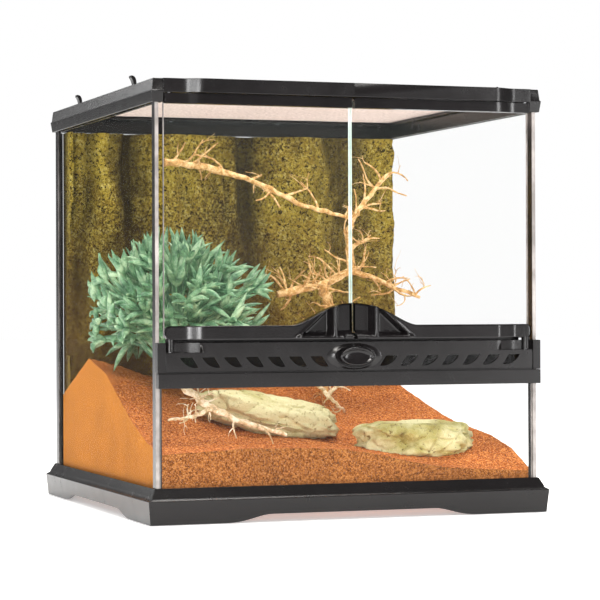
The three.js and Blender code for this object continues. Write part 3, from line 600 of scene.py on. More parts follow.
class Maker:
    """Turns bmeshes into finished pieces that ride on their bodies."""

    def __init__(self, finishes: Finishes) -> None:
        """Keeps the finishes that the pieces are dressed in."""
        self.finishes = finishes

    def piece(self, name: str, bm: bmesh.types.BMesh, materials: Sequence[bpy.types.Material], body: str,
              nodes: Sequence[str] = (), crease: float = 32.0) -> bpy.types.Object:
        """Makes an object of a bmesh and fixes it to its body.

        Args:
            name: The piece's name.
            bm: Its mesh, in the row frame; it is freed here.
            materials: Its material slots, in order.
            body: The body that it rides on.
            nodes: The CAD nodes that it stands for.
            crease: Edges that turn by more than this many degrees stay sharp.

        Returns:
            The new object.
        """
        mesh = bpy.data.meshes.new(name)
        bm.to_mesh(mesh)
        bm.free()
        mesh.shade_smooth()
        mesh.set_sharp_from_angle(angle=math.radians(crease))
        for material in materials:
            mesh.materials.append(material)
        made = bpy.data.objects.new(name, mesh)
        bpy.context.scene.collection.objects.link(made)
        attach(made, body)
        if nodes:
            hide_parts(*nodes)
        LOG.info("%s: %d faces on %s", name, len(mesh.polygons), body)
        return made

    def dress(self, node: str, material: bpy.types.Material) -> None:
        """Gives a CAD node that stays in view its finish.

        Args:
            node: The CAD node.
            material: The finish.
        """
        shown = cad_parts[node]
        shown.data.materials.clear()
        shown.data.materials.append(material)
        LOG.info("%s: dressed", node)

    def moulding(self, node: str, body: str, material: bpy.types.Material, edge: float = 0.5,
                 rounds: int = 2, splits: Sequence[tuple[int, float]] = ()) -> bpy.types.Object:
        """A moulded copy of a CAD node with its sharp edges rounded.

        Args:
            node: The CAD node.
            body: The body that it rides on.
            material: Its finish.
            edge: Radius of its edges in millimetres.
            rounds: Segments of each rounding.
            splits: Planes (axis, millimetres) that split flat faces with openings in them.

        Returns:
            The new object.
        """
        bm = bmesh.new()
        bm.from_mesh(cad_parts[node].data)
        bmesh.ops.remove_doubles(bm, verts=bm.verts, dist=2e-6)
        for axis, place in splits:
            normal = Vector([float(axis == i) for i in range(3)])
            cut = bmesh.ops.bisect_plane(bm, geom=bm.verts[:] + bm.edges[:] + bm.faces[:],
                                         plane_co=normal * place * MM, plane_no=normal)
            for part in cut["geom_cut"]:
                if isinstance(part, bmesh.types.BMEdge):
                    part.seam = True
        bmesh.ops.dissolve_limit(bm, angle_limit=math.radians(0.6), use_dissolve_boundaries=False,
                                 verts=bm.verts, edges=bm.edges, delimit={"SEAM"})
        round_edges(bm, edge * MM, rounds)
        made = self.piece(f"{node}_moulding", bm, [material], body, [node])
        made.modifiers.new("flat_faces", "WEIGHTED_NORMAL").keep_sharp = True
        return made


def round_edges(bm: bmesh.types.BMesh, offset: float, segments: int = 2, over: float = 28.0) -> None:
    """Rounds the outward edges of a bmesh that turn by more than an angle in degrees.

    Args:
        bm: The mesh to round.
        offset: How far the rounding reaches from the edge, in metres.
        segments: Faces across the rounding.
        over: Smallest turn that is rounded, in degrees.
    """
    sharp = [e for e in bm.edges
             if e.is_manifold and e.is_convex and e.calc_face_angle(0.0) > math.radians(over)]
    bmesh.ops.bevel(bm, geom=sharp, offset=offset, offset_type="OFFSET", segments=segments, profile=0.5,
                    affect="EDGES", clamp_overlap=False, material=-1)


def add_block(bm: bmesh.types.BMesh, low: Sequence[float], high: Sequence[float],
              edge: float = 0.0) -> list[bmesh.types.BMVert]:
    """Adds a block between two corners.

    Args:
        bm: The mesh to add to.
        low: Its lowest corner in metres.
        high: Its highest corner.
        edge: Radius of its edges in metres.

    Returns:
        The block's vertices before its edges are rounded.
    """
    low, high = Vector(low), Vector(high)
    place = Matrix.Translation((low + high) / 2) @ Matrix.Diagonal((*(high - low), 1.0))
    verts = bmesh.ops.create_cube(bm, size=1.0, matrix=place)["verts"]
    if edge:
        edges = list({e for v in verts for e in v.link_edges})
        bmesh.ops.bevel(bm, geom=edges, offset=edge, offset_type="OFFSET", segments=2, profile=0.5,
                        affect="EDGES", clamp_overlap=True, material=-1)
    return verts


def join_part(bm: bmesh.types.BMesh, part: bmesh.types.BMesh) -> None:
    """Moves a small mesh into a larger one and frees it.

    Args:
        bm: The mesh to add to.
        part: The small mesh.
    """
    carrier = bpy.data.meshes.new("part")
    part.to_mesh(carrier)
    part.free()
    bm.from_mesh(carrier)
    bpy.data.meshes.remove(carrier)


def add_barrel(bm: bmesh.types.BMesh, start: Vector, end: Vector, radius: float, sides: int) -> None:
    """Adds a closed round bar between two points.

    Args:
        bm: The mesh to add to.
        start: Centre of one end.
        end: Centre of the other end.
        radius: Its radius in metres.
        sides: Faces round it.
    """
    along = end - start
    place = Matrix.Translation((start + end) / 2) @ along.to_track_quat("Z", "Y").to_matrix().to_4x4()
    part = bmesh.new()
    bmesh.ops.create_cone(part, cap_ends=True, cap_tris=False, segments=sides, radius1=radius, radius2=radius,
                          depth=along.length, matrix=place)
    join_part(bm, part)


def add_tapered_path(bm: bmesh.types.BMesh, points: Sequence[Vector], radii: Sequence[float],
                     sides: int = 6) -> None:
    """Adds a closed tube that follows points, with a radius at each.

    Args:
        bm: The mesh to add to.
        points: The centreline.
        radii: The radius at each point.
        sides: Number of sides.
    """
    part = bmesh.new()
    ring: list[bmesh.types.BMEdge] = []
    for i, (point, radius) in enumerate(zip(points, radii)):
        ahead = points[min(i + 1, len(points) - 1)] - points[max(i - 1, 0)]
        place = Matrix.Translation(point) @ ahead.to_track_quat("Z", "Y").to_matrix().to_4x4()
        caps = i in (0, len(points) - 1)
        made = bmesh.ops.create_circle(part, cap_ends=caps, segments=sides, radius=radius, matrix=place)
        edges = list({e for v in made["verts"] for e in v.link_edges})
        if ring:
            bmesh.ops.bridge_loops(part, edges=ring + edges)
        ring = edges
    bmesh.ops.recalc_face_normals(part, faces=part.faces)
    join_part(bm, part)


# ---- The sub-assemblies -----------------------------------------------------------------------


@dataclass
class Panes:
    """The fixed panes and the doors' panes, each with arrissed cut edges."""

    arris: float = 0.45 * MM
    fixed: dict[str, EdgeLook] = field(default_factory=lambda: {
        "left_glass": EdgeLook.GREY, "right_glass": EdgeLook.GREY, "back_glass": EdgeLook.GREY,
        "front_lower_glass": EdgeLook.GREY, "bottom_glass": EdgeLook.GREEN})
    door_gap: float = 1.4 * MM
    edge_band: float = 11.0 * MM

    def build(self, maker: Maker) -> None:
        """Makes every pane."""
        for node, look in self.fixed.items():
            self.pane(maker, node, "tank", look)
        for side in Side:
            self.pane(maker, f"{side.word}_door_glass", f"{side.word}_door", EdgeLook.GREY, side)

    def pane(self, maker: Maker, node: str, body: str, look: EdgeLook, side: Side | None = None) -> None:
        """Makes one pane in its node's box.

        Args:
            maker: The maker.
            node: The CAD node.
            body: The body that it rides on.
            look: The finish of its edges.
            side: For a door's pane, its side; the pane then runs up to the gap between the doors.
        """
        low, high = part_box(node)
        thin = min(range(3), key=lambda i: high[i] - low[i])
        if side is Side.LEFT:
            high.x = -self.door_gap / 2
        elif side is Side.RIGHT:
            low.x = self.door_gap / 2
        bm = bmesh.new()
        verts = add_block(bm, low, high)
        edges = list({e for v in verts for e in v.link_edges})
        bmesh.ops.bevel(bm, geom=edges, offset=self.arris, offset_type="OFFSET", segments=1, profile=0.5,
                        affect="EDGES", clamp_overlap=True, material=-1)
        if node in ("left_glass", "right_glass"):
            for plane in (low.y + self.edge_band, high.y - self.edge_band):
                bmesh.ops.bisect_plane(bm, geom=bm.verts[:] + bm.edges[:] + bm.faces[:],
                                       plane_co=(0.0, plane, 0.0), plane_no=(0.0, 1.0, 0.0))
        bm.normal_update()
        for face in bm.faces:
            meeting = side is not None and face.normal.x * side.value < -0.5
            face.material_index = 0 if abs(face.normal[thin]) > 0.99 else 2 if meeting else 1
            centre = face.calc_center_median()
            banded = thin == 0 and min(centre.y - low.y, high.y - centre.y) < self.edge_band
            if banded and face.material_index == 0 and node != "bottom_glass":
                face.material_index = 3
        edges = maker.finishes.edges
        looks = [edges[look], edges[EdgeLook.GREEN], edges[EdgeLook.SMOKED]]
        maker.piece(f"{node}_pane", bm, [maker.finishes.glass, *looks], body, [node],
                    crease=20)


@dataclass
class Trim:
    """Plinth, upper frame, vent strip and the other mouldings that keep their CAD shape."""

    edge: float = 0.6
    fine_edge: float = 0.35
    vent_pitch: float = 0.8 * MM
    first_rib: float = 168.0
    rib_pitch: float = 23.5
    louvre_middle: float = 164.8

    def build(self, maker: Maker) -> None:
        """Makes the mouldings and dresses the small parts."""
        plastic = maker.finishes.plastic
        quarters = [(0, 0.0), (1, 4.25)]
        maker.moulding("base_frame", "tank", plastic, self.edge, 3, quarters)
        holes = [(0, x) for x in (-199, -140, 140, 199)] + [(1, -211.75), (1, 204.05)]
        maker.moulding("top_frame", "tank", plastic, self.edge, 2, quarters + holes)
        louvres = [(0, sign * (self.first_rib - self.rib_pitch * i)) for i in range(7) for sign in (-1, 1)]
        maker.moulding("vent_strip", "tank", plastic, 0.45, 2, [(0, 0.0), (2, self.louvre_middle), *louvres])
        for side in Side:
            maker.moulding(f"strip_end_cap_{side.word}", "tank", plastic, self.fine_edge)
            maker.moulding(f"{side.word}_cable_shutter", f"{side.word}_shutter", plastic, self.fine_edge)
            maker.moulding(f"{side.word}_door_top_profile", f"{side.word}_door",
                           maker.finishes.gloss_plastic, self.fine_edge)
            for level in ("lower", "upper"):
                maker.dress(f"{level}_hinge_pin_{side.word}", maker.finishes.steel)
            for end in ("rear", "front"):
                maker.dress(f"{end}_{side.word}_silicone", maker.finishes.silicone)
        low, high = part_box("vent_mesh")
        weave(maker, "vent_mesh", "tank", low, high, (0, 2), self.vent_pitch, maker.finishes.vent_wire, 0.44)
        self.boss(maker)
        maker.moulding("door_stop_lip", "tank", plastic, self.fine_edge)

    def boss(self, maker: Maker) -> None:
        """The flared boss that the lock knob turns in."""
        low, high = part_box("lock_knob")
        middle = (low + high) / 2
        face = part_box("vent_strip")[0].y + 2.7 * MM
        bm = bmesh.new()
        rings = [(33, 14.2, 0.2), (30, 13.6, -0.3), (26, 12.6, -1.2), (23.4, 11.8, -2.4), (22.4, 11.3, -2.9),
                 (20.5, 10.9, -2.7), (19.6, 10.6, -1.4)]
        add_oval_rings(bm, middle, face, rings, 64)
        maker.piece("lock_boss_flare", bm, [maker.finishes.plastic], "tank", crease=60)


def add_oval_rings(bm: bmesh.types.BMesh, middle: Vector, face: float,
                   rings: Sequence[tuple[float, float, float]], sides: int) -> None:
    """Lofts oval rings and closes them.

    Each ring is its half width, half height and depth behind the face, in millimetres.

    Args:
        bm: The mesh to add to.
        middle: Centre of the ovals.
        face: The y that depths are taken from.
        rings: The ovals in order.
        sides: Points on each.
    """
    previous: list[bmesh.types.BMEdge] = []
    for half_x, half_z, depth in rings:
        place = (Matrix.Translation((middle.x, face + depth * MM, middle.z))
                 @ Matrix.Rotation(math.pi / 2, 4, "X") @ Matrix.Diagonal((half_x * MM, half_z * MM, 1, 1)))
        made = bmesh.ops.create_circle(bm, cap_ends=False, segments=sides, radius=1.0, matrix=place)
        edges = list({e for v in made["verts"] for e in v.link_edges})
        if previous:
            bmesh.ops.bridge_loops(bm, edges=previous + edges)
        previous = edges
    bmesh.ops.holes_fill(bm, edges=[e for e in bm.edges if e.is_boundary], sides=0)
    bmesh.ops.recalc_face_normals(bm, faces=bm.faces)


def weave(maker: Maker, node: str, body: str, low: Vector, high: Vector, plane: tuple[int, int], pitch: float,
          material: bpy.types.Material, thickness: float = 0.24) -> None:
    """Fills a node's box with two crossing layers of fine wire.

    Args:
        maker: The maker.
        node: The CAD node that the screen stands for.
        body: The body that it rides on.
        low: Lowest corner of the screen.
        high: Highest corner of the screen.
        plane: The two axes that the screen lies in.
        pitch: Distance between wires in metres.
        material: The wire's finish.
        thickness: The wire's radius as a share of the screen's thickness.
    """
    bm = bmesh.new()
    thin = 3 - sum(plane)
    radius = (high[thin] - low[thin]) * thickness
    for layer, across in enumerate(plane[::-1]):
        count = int((high[across] - low[across]) / pitch)
        for i in range(count + 1):
            start, end = low.copy(), high.copy()
            start[across] = end[across] = lerp(low[across] + radius, high[across] - radius, i / count)
            start[thin] = end[thin] = lerp(low[thin] + radius, high[thin] - radius, 0.2 + 0.6 * layer)
            add_barrel(bm, start, end, radius, 5)
    maker.piece(f"{node}_weave", bm, [material], body, [node], crease=80)


@dataclass
class HandleRail:
    """A door's bottom rail with its half of the bell-shaped grip. Millimetres from the rail's underside."""

    side: Side
    recess: float = 5.6
    bulge: float = 13.0
    curve_from: float = 187.0
    curve_length: float = 25.0
    rail_height: float = 14.7
    end_round: float = 5.2
    grip_half_width: float = 69.0
    plate: float = 3.4
    ridge_at: float = 23.0
    ridge_reach: float = 16.0
    floor: float = 4.2
    slant: float = 1.14
    scoop_reach: float = 60.7
    lip_round: float = 1.3
    pocket_reach: float = 22.5
    pocket_height: float = 7.4
    pocket_depth: float = 6.7
    pocket_wall: float = 7.6
    pane_gap: float = 0.3
    channel_lip: float = 4.3
    channel_height: float = 2.2
    knuckle_radius: float = 4.5
    columns: int = 260
    rows: int = 30

    def build(self, maker: Maker) -> None:
        """Makes the rail."""
        node = f"{self.side.word}_handle_rail"
        low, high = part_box(node)
        knuckle_low = low.z
        glass_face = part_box(f"{self.side.word}_door_glass")[0].y
        foot = 187.3 * MM
        grip = (high.z - foot) / MM
        outline = self.bell(grip)
        inner = min(abs(low.x), abs(high.x)) / MM
        outer = max(abs(low.x), abs(high.x)) / MM
        bm = bmesh.new()
        bmesh.ops.create_grid(bm, x_segments=self.columns, y_segments=self.rows, size=1.0)
        for vert in bm.verts:
            a = lerp(inner, outer, (vert.co.x + 1) / 2)
            v = 0.5 - 0.5 * math.cos(math.pi * (vert.co.y + 1) / 2)
            bottom, top = self.limits(a, outer, outline)
            h = lerp(bottom, top, v)
            lip = min(h - bottom, top - h, outer - a, a - inner)
            reach = self.reach(a, h)
            if lip < self.lip_round:
                gap = self.lip_round - lip
                reach -= self.lip_round - math.sqrt(max(self.lip_round**2 - gap * gap, 0.0))
            vert.co = Vector((self.side.value * a * MM, glass_face - reach * MM, foot + h * MM))
        rim = [e for e in bm.edges if e.is_boundary]
        pocket_front = glass_face - self.pocket_depth * MM
        rim = self.step_back(bm, rim, pocket_front)
        rim = self.step_back(bm, rim, pocket_front)
        for vert in {v for e in rim for v in e.verts}:
            a, h = abs(vert.co.x) / MM, (vert.co.z - foot) / MM
            if a < self.pocket_reach and h < self.pocket_height:
                shift = 0.05 * (1 - h / self.pocket_height) if a < inner + 0.01 else 0.0
                vert.co.x = self.side.value * (a + shift) * MM
                vert.co.z = foot + self.pocket_height * MM
        self.step_back(bm, rim, glass_face - self.pane_gap * MM)
        bmesh.ops.remove_doubles(bm, verts=bm.verts, dist=0.001 * MM)
        bmesh.ops.holes_fill(bm, edges=[e for e in bm.edges if e.is_boundary], sides=0)
        bmesh.ops.recalc_face_normals(bm, faces=bm.faces)
        self.fittings(bm, foot, glass_face, knuckle_low, inner, outer)
        maker.piece(f"{node}_grip", bm, [maker.finishes.gloss_plastic], f"{self.side.word}_door",
                    [node], crease=40)

    def step_back(self, bm: bmesh.types.BMesh, rim: list[bmesh.types.BMEdge],
                  y: float) -> list[bmesh.types.BMEdge]:
        """Carries an open rim back to a plane and returns the new rim.

        Args:
            bm: The rail's mesh.
            rim: The open rim.
            y: The plane's y in metres.

        Returns:
            The new rim's edges.
        """
        made = bmesh.ops.extrude_edge_only(bm, edges=rim)["geom"]
        for vert in (g for g in made if isinstance(g, bmesh.types.BMVert)):
            vert.co.y = y
        return [g for g in made if isinstance(g, bmesh.types.BMEdge) and g.is_boundary]

    def fittings(self, bm: bmesh.types.BMesh, foot: float, glass_face: float, knuckle_low: float,
                 inner: float, outer: float) -> None:
        """The channel lip under the pane and the hinge knuckle.

        Args:
            bm: The rail's mesh.
            foot: Height of the rail's underside in metres.
            glass_face: y of the pane's front.
            knuckle_low: Height of the knuckle's lower end.
            inner: The rail's inner end, in millimetres from the centre.
            outer: Its outer end.
        """
        s = self.side.value
        xs = sorted((s * (inner + 0.4) * MM, s * (outer - self.end_round) * MM))
        thick = self.channel_lip * MM
        add_block(bm, (xs[0], glass_face - 1 * MM, foot),
                  (xs[1], glass_face + thick, foot + self.channel_height * MM), 0.3 * MM)
        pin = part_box(f"lower_hinge_pin_{self.side.word}")
        centre = (pin[0] + pin[1]) / 2
        add_barrel(bm, Vector((centre.x, centre.y, knuckle_low)), Vector((centre.x, centre.y, foot + 1 * MM)),
                   self.knuckle_radius * MM, 32)

    def bell(self, grip: float) -> list[tuple[float, float]]:
        """Points (distance from the centre, height) of the grip's top edge, outside in.

        Args:
            grip: The grip's full height in millimetres.

        Returns:
            The points.
        """
        w, top = self.grip_half_width, self.rail_height
        knots = ((w, top), (w * 0.75, top + 2), (w * 0.46, grip), (1.6, grip))
        points = []
        for i in range(81):
            t = i / 80
            weights = ((1 - t)**3, 3 * t * (1 - t)**2, 3 * t * t * (1 - t), t**3)
            points.append(tuple(sum(k[j] * m for k, m in zip(knots, weights)) for j in (0, 1)))
        return points

    def limits(self, a: float, outer: float, outline: list[tuple[float, float]]) -> tuple[float, float]:
        """Lowest and highest point of the rail at a distance from the centre.

        Args:
            a: Distance from the centre in millimetres.
            outer: The rail's outer end.
            outline: The grip's top edge.

        Returns:
            The two heights in millimetres.
        """
        top = self.rail_height
        if a < self.grip_half_width:
            for (a1, h1), (a2, h2) in zip(outline, outline[1:]):
                if a2 <= a <= a1:
                    top = lerp(h1, h2, (a1 - a) / max(a1 - a2, 1e-6))
                    break
            else:
                top = outline[-1][1]
        past = max(a - (outer - self.end_round), 0.0)
        inset = self.end_round - math.sqrt(max(self.end_round**2 - past * past, 0.0))
        inset = min(inset, self.rail_height / 2 - 0.4)
        return inset, top - inset

    def reach(self, a: float, h: float) -> float:
        """How far the face stands before the pane, at a distance from the centre and a height.

        Args:
            a: Distance from the centre in millimetres.
            h: Height over the underside.

        Returns:
            The distance in millimetres.
        """
        share = clamp((self.curve_from - a) / self.curve_length)
        base = self.recess + (self.bulge - self.recess) * (0.5 - 0.5 * math.cos(math.pi * share))
        above = soft(self.floor - 0.6, self.floor + 3.4, h)
        inner = soft(self.ridge_at - 2.4, self.ridge_at - 6.2, a) * above
        slanted = self.scoop_reach - (h - self.floor) * self.slant - a
        outer = soft(self.ridge_at + 2.4, self.ridge_at + 6.4, a) * soft(-1.0, 4.0, slanted) * above
        over_pocket = soft(self.pocket_height + 0.4, self.pocket_height + 1.6, h)
        backing = lerp(self.pocket_wall, self.plate, over_pocket)
        reach = lerp(base, backing if a < self.ridge_at else self.plate, inner)
        reach = lerp(reach, self.plate + 1.6, outer)
        flare = 2.8 + 4.2 * math.exp(-h / 5.0)
        ridge = soft(flare + 1.4, 0.6, abs(a - self.ridge_at))
        ledge = soft(10.5, 14.5, a) * soft(67.0, 60.0, a) * soft(5.4, 2.2, h)
        shoulder = (0.8 * math.exp(-(slanted / 3.0)**2) * soft(30, 36, a) * soft(1.0, 5.0, h)
                    * soft(28.0, 12.0, h))
        proud = max(ridge, ledge) * (self.ridge_reach - base)
        return reach + (self.bulge - reach) * max(ridge, 0.0) + max(proud, 0.0) + shoulder


@dataclass
class LockKnob:
    """Oval knob with a raised rim round a tilted finger dish."""

    rings: tuple[tuple[float, float, float], ...] = (
        (14.0, 6.4, 5.5), (17.6, 8.6, 5.4), (18.8, 9.6, 4.4), (19.0, 9.8, 3.0), (18.9, 9.7, 1.2),
        (18.3, 9.1, 0.3), (17.5, 8.4, 0.0), (16.6, 7.6, 0.35), (15.6, 6.8, 1.2), (13.4, 5.8, 2.0),
        (9.5, 4.2, 2.4), (4.0, 2.0, 2.5))
    dish_tilt: float = 0.16
    collar: float = 7.0

    def build(self, maker: Maker) -> None:
        """Makes the knob and the cam behind it."""
        low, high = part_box("lock_knob")
        middle = (low + high) / 2
        bm = bmesh.new()
        add_oval_rings(bm, middle, low.y, self.rings, 72)
        for vert in bm.verts:
            inside = math.hypot((vert.co.x - middle.x) / 16.6, (vert.co.z - middle.z) / 7.6) / MM
            if vert.co.y < low.y + 2.9 * MM and inside < 0.98:
                vert.co.y += (vert.co.z - middle.z) * self.dish_tilt * soft(0.98, 0.8, inside)
        add_barrel(bm, Vector((middle.x, low.y + 5 * MM, middle.z)), Vector((middle.x, high.y, middle.z)),
                   self.collar * MM, 36)
        maker.piece("lock_knob_oval", bm, [maker.finishes.gloss_plastic], "lock",
                    ["lock_knob"], crease=50)
        maker.moulding("lock_cam", "lock", maker.finishes.plastic, 0.4)


@dataclass
class ScreenLid:
    """Lid frame, woven screen, crossbar and the four latches."""

    pitch: float = 2.1 * MM
    edge: float = 0.45

    def build(self, maker: Maker) -> None:
        """Makes the lid's pieces."""
        plastic = maker.finishes.plastic
        maker.moulding("screen_frame", "screen", plastic, self.edge, 2, [(0, 0.0), (1, 4.25)])
        maker.moulding("screen_crossbar", "screen", plastic, self.edge)
        low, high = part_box("screen_mesh")
        weave(maker, "screen_mesh", "screen", low, high, (0, 1), self.pitch, maker.finishes.lid_wire)
        for end in ("front", "rear"):
            for side in Side:
                name = f"latch_{end}_{side.word}"
                maker.moulding(name, name, plastic, self.edge, 3)


@dataclass
class Habitat:
    """The inside of the tank, where the furnishing is placed by share of its width and depth."""

    half: float = 0.209
    middle_y: float = 4.25 * MM

    def spot(self, u: float, v: float) -> tuple[float, float]:
        """A place: u runs -1..1 across, v runs 0..1 from front to back."""
        return u * self.half, self.middle_y - self.half + v * 2 * self.half

    def point(self, u: float, v: float, z: float) -> Vector:
        """A place at a height in millimetres."""
        return Vector((*self.spot(u, v), z * MM))


@dataclass
class RockWall:
    """Moulded foam background with folds, ledges and pits in its face."""

    columns: int = 230
    rows: int = 220
    fold: float = 5.5
    rough: float = 3.0
    pit: float = 1.8
    crevices: tuple[tuple[float, float, float, float], ...] = (
        (-0.645, 4.0, 13.0, 0.300), (0.10, 11.0, 12.0, 0.285), (-0.30, 6.0, 6.0, 0.20),
        (0.62, 7.0, 7.0, 0.24),
        (-0.88, 6.0, 7.0, 0.22))

    def build(self, maker: Maker) -> None:
        """Makes the background from the CAD block's plan."""
        low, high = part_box("rock_background")
        plan = self.plan_of("rock_background", high)
        bm = bmesh.new()
        bmesh.ops.create_grid(bm, x_segments=self.columns, y_segments=self.rows, size=1.0)
        for vert in bm.verts:
            x = lerp(low.x, high.x, (vert.co.x + 1) / 2)
            z = lerp(low.z, high.z, (vert.co.y + 1) / 2)
            vert.co = Vector((x, self.face(plan, x, z, high), z))
        rim = [e for e in bm.edges if e.is_boundary]
        made = bmesh.ops.extrude_edge_only(bm, edges=rim)["geom"]
        for vert in (g for g in made if isinstance(g, bmesh.types.BMVert)):
            vert.co.y = high.y
        bmesh.ops.holes_fill(bm, edges=[e for e in bm.edges if e.is_boundary], sides=0)
        bmesh.ops.recalc_face_normals(bm, faces=bm.faces)
        maker.piece("rock_background_relief", bm, [maker.finishes.foam], "tank",
                    ["rock_background"], crease=60)

    def plan_of(self, node: str, high: Vector) -> list[tuple[float, float]]:
        """Front face of the block in plan, as (x, y) from left to right."""
        points = {(round(v.co.x, 5), round(v.co.y, 5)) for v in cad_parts[node].data.vertices
                  if v.co.y < high.y - 5 * MM}
        return sorted(points)

    def face(self, plan: list[tuple[float, float]], x: float, z: float, high: Vector) -> float:
        """The face's y at a place: the plan, leaned and folded by noise."""
        lean = 10 * MM * math.sin(z * 17 + 1.2) * noise.noise(Vector((x * 6, 0.3, z * 4)))
        y = plan[-1][1]
        for (x1, y1), (x2, y2) in zip(plan, plan[1:]):
            if x1 <= x + lean <= x2:
                y = lerp(y1, y2, (x + lean - x1) / max(x2 - x1, 1e-9))
                break
        place = Vector((x, 0.7, z))
        ridge = abs(noise.noise(Vector((x * 26 + 3 * noise.noise(place * 9), 1.0, z * 7))))
        y += self.fold * MM * (0.9 - 2.0 * ridge)
        for share, width, depth, foot in self.crevices:
            off = x - share * high.x - 0.012 * noise.noise(Vector((share * 9, 0.2, z * 9)))
            y += depth * MM * math.exp(-(off / (width * MM)) ** 2) * soft(foot - 0.05, foot + 0.05, z)
        y -= self.rough * MM * fractal(place, 55, 4)
        y += self.pit * MM * max(0.0, fractal(place + Vector((3, 0, 1)), 210, 2))
        return min(max(y, high.y - 41 * MM), high.y - 6 * MM)


@dataclass
class SandBed:
    """Banked sand: heights in millimetres at knots across (left to right) and rows from front to back."""

    land: Habitat
    rows: tuple[float, ...] = (0, 0.12, 0.25, 0.5, 0.68, 1)
    heights: tuple[tuple[float, ...], ...] = (
        (70, 76, 72, 50, 44), (82, 80, 73, 58, 66), (102, 86, 76, 68, 78),
        (150, 112, 90, 84, 88), (166, 132, 112, 100, 104), (112, 134, 146, 140, 134))
    cells: int = 260

    def height(self, u: float, v: float) -> float:
        """Sand height in millimetres at a place, before its ripples.

        Args:
            u: Place across the tank, -1 to 1.
            v: Place from front to back, 0 to 1.

        Returns:
            The height.
        """
        row = 0
        while row < len(self.rows) - 2 and v > self.rows[row + 1]:
            row += 1
        across = (u + 1) / 2 * 4
        column = min(3, int(across))
        s = soft(-0.2, 1.2, across - column)
        t = (v - self.rows[row]) / (self.rows[row + 1] - self.rows[row])
        near = lerp(self.heights[row][column], self.heights[row][column + 1], s)
        far = lerp(self.heights[row + 1][column], self.heights[row + 1][column + 1], s)
        return lerp(near, far, t)

    def surface(self, u: float, v: float) -> float:
        """Sand height with its ripples and crumbs, in metres.

        Args:
            u: Place across the tank, -1 to 1.
            v: Place from front to back, 0 to 1.

        Returns:
            The height.
        """
        x, y = self.land.spot(u, v)
        place = Vector((x, y, 0.0))
        ripple = 2.2 * fractal(place, 16, 3) + 1.0 * fractal(place, 70, 3)
        crumbs = 1.1 * fractal(place, 230, 2)
        edge = soft(0.0, 0.04, v) * soft(1.0, 0.97, abs(u))
        return (self.height(u, v) + ripple * lerp(0.5, 1.0, edge) + crumbs * edge) * MM

    def build(self, maker: Maker) -> None:
        """Makes the bed: a rippled top over plain sides."""
        low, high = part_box("sand_bed")
        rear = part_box("rock_background")[1].y - 12 * MM
        bm = bmesh.new()
        bmesh.ops.create_grid(bm, x_segments=self.cells, y_segments=self.cells, size=1.0)
        for vert in bm.verts:
            u, v = vert.co.x, (vert.co.y + 1) / 2
            x = lerp(low.x, high.x, (u + 1) / 2)
            y = lerp(low.y, rear, v)
            vert.co = Vector((x, y, self.surface(u, (y - low.y) / (2 * self.land.half))))
        rim = [e for e in bm.edges if e.is_boundary]
        made = bmesh.ops.extrude_edge_only(bm, edges=rim)["geom"]
        for vert in (g for g in made if isinstance(g, bmesh.types.BMVert)):
            vert.co.z = low.z
        bmesh.ops.holes_fill(bm, edges=[e for e in bm.edges if e.is_boundary], sides=0)
        bmesh.ops.recalc_face_normals(bm, faces=bm.faces)
        bm.normal_update()
        for face in bm.faces:
            # Front faces take the darker copy (painted shade), side faces the brighter copy (painted light).
            face.material_index = 1 if face.normal.y < -0.9 else 2 if abs(face.normal.x) > 0.9 else 0
        f = maker.finishes
        maker.piece("sand_bed_grains", bm, [f.sand, f.shaded_front_sand, f.lit_side_sand], "tank",
                    ["sand_bed"], crease=50)


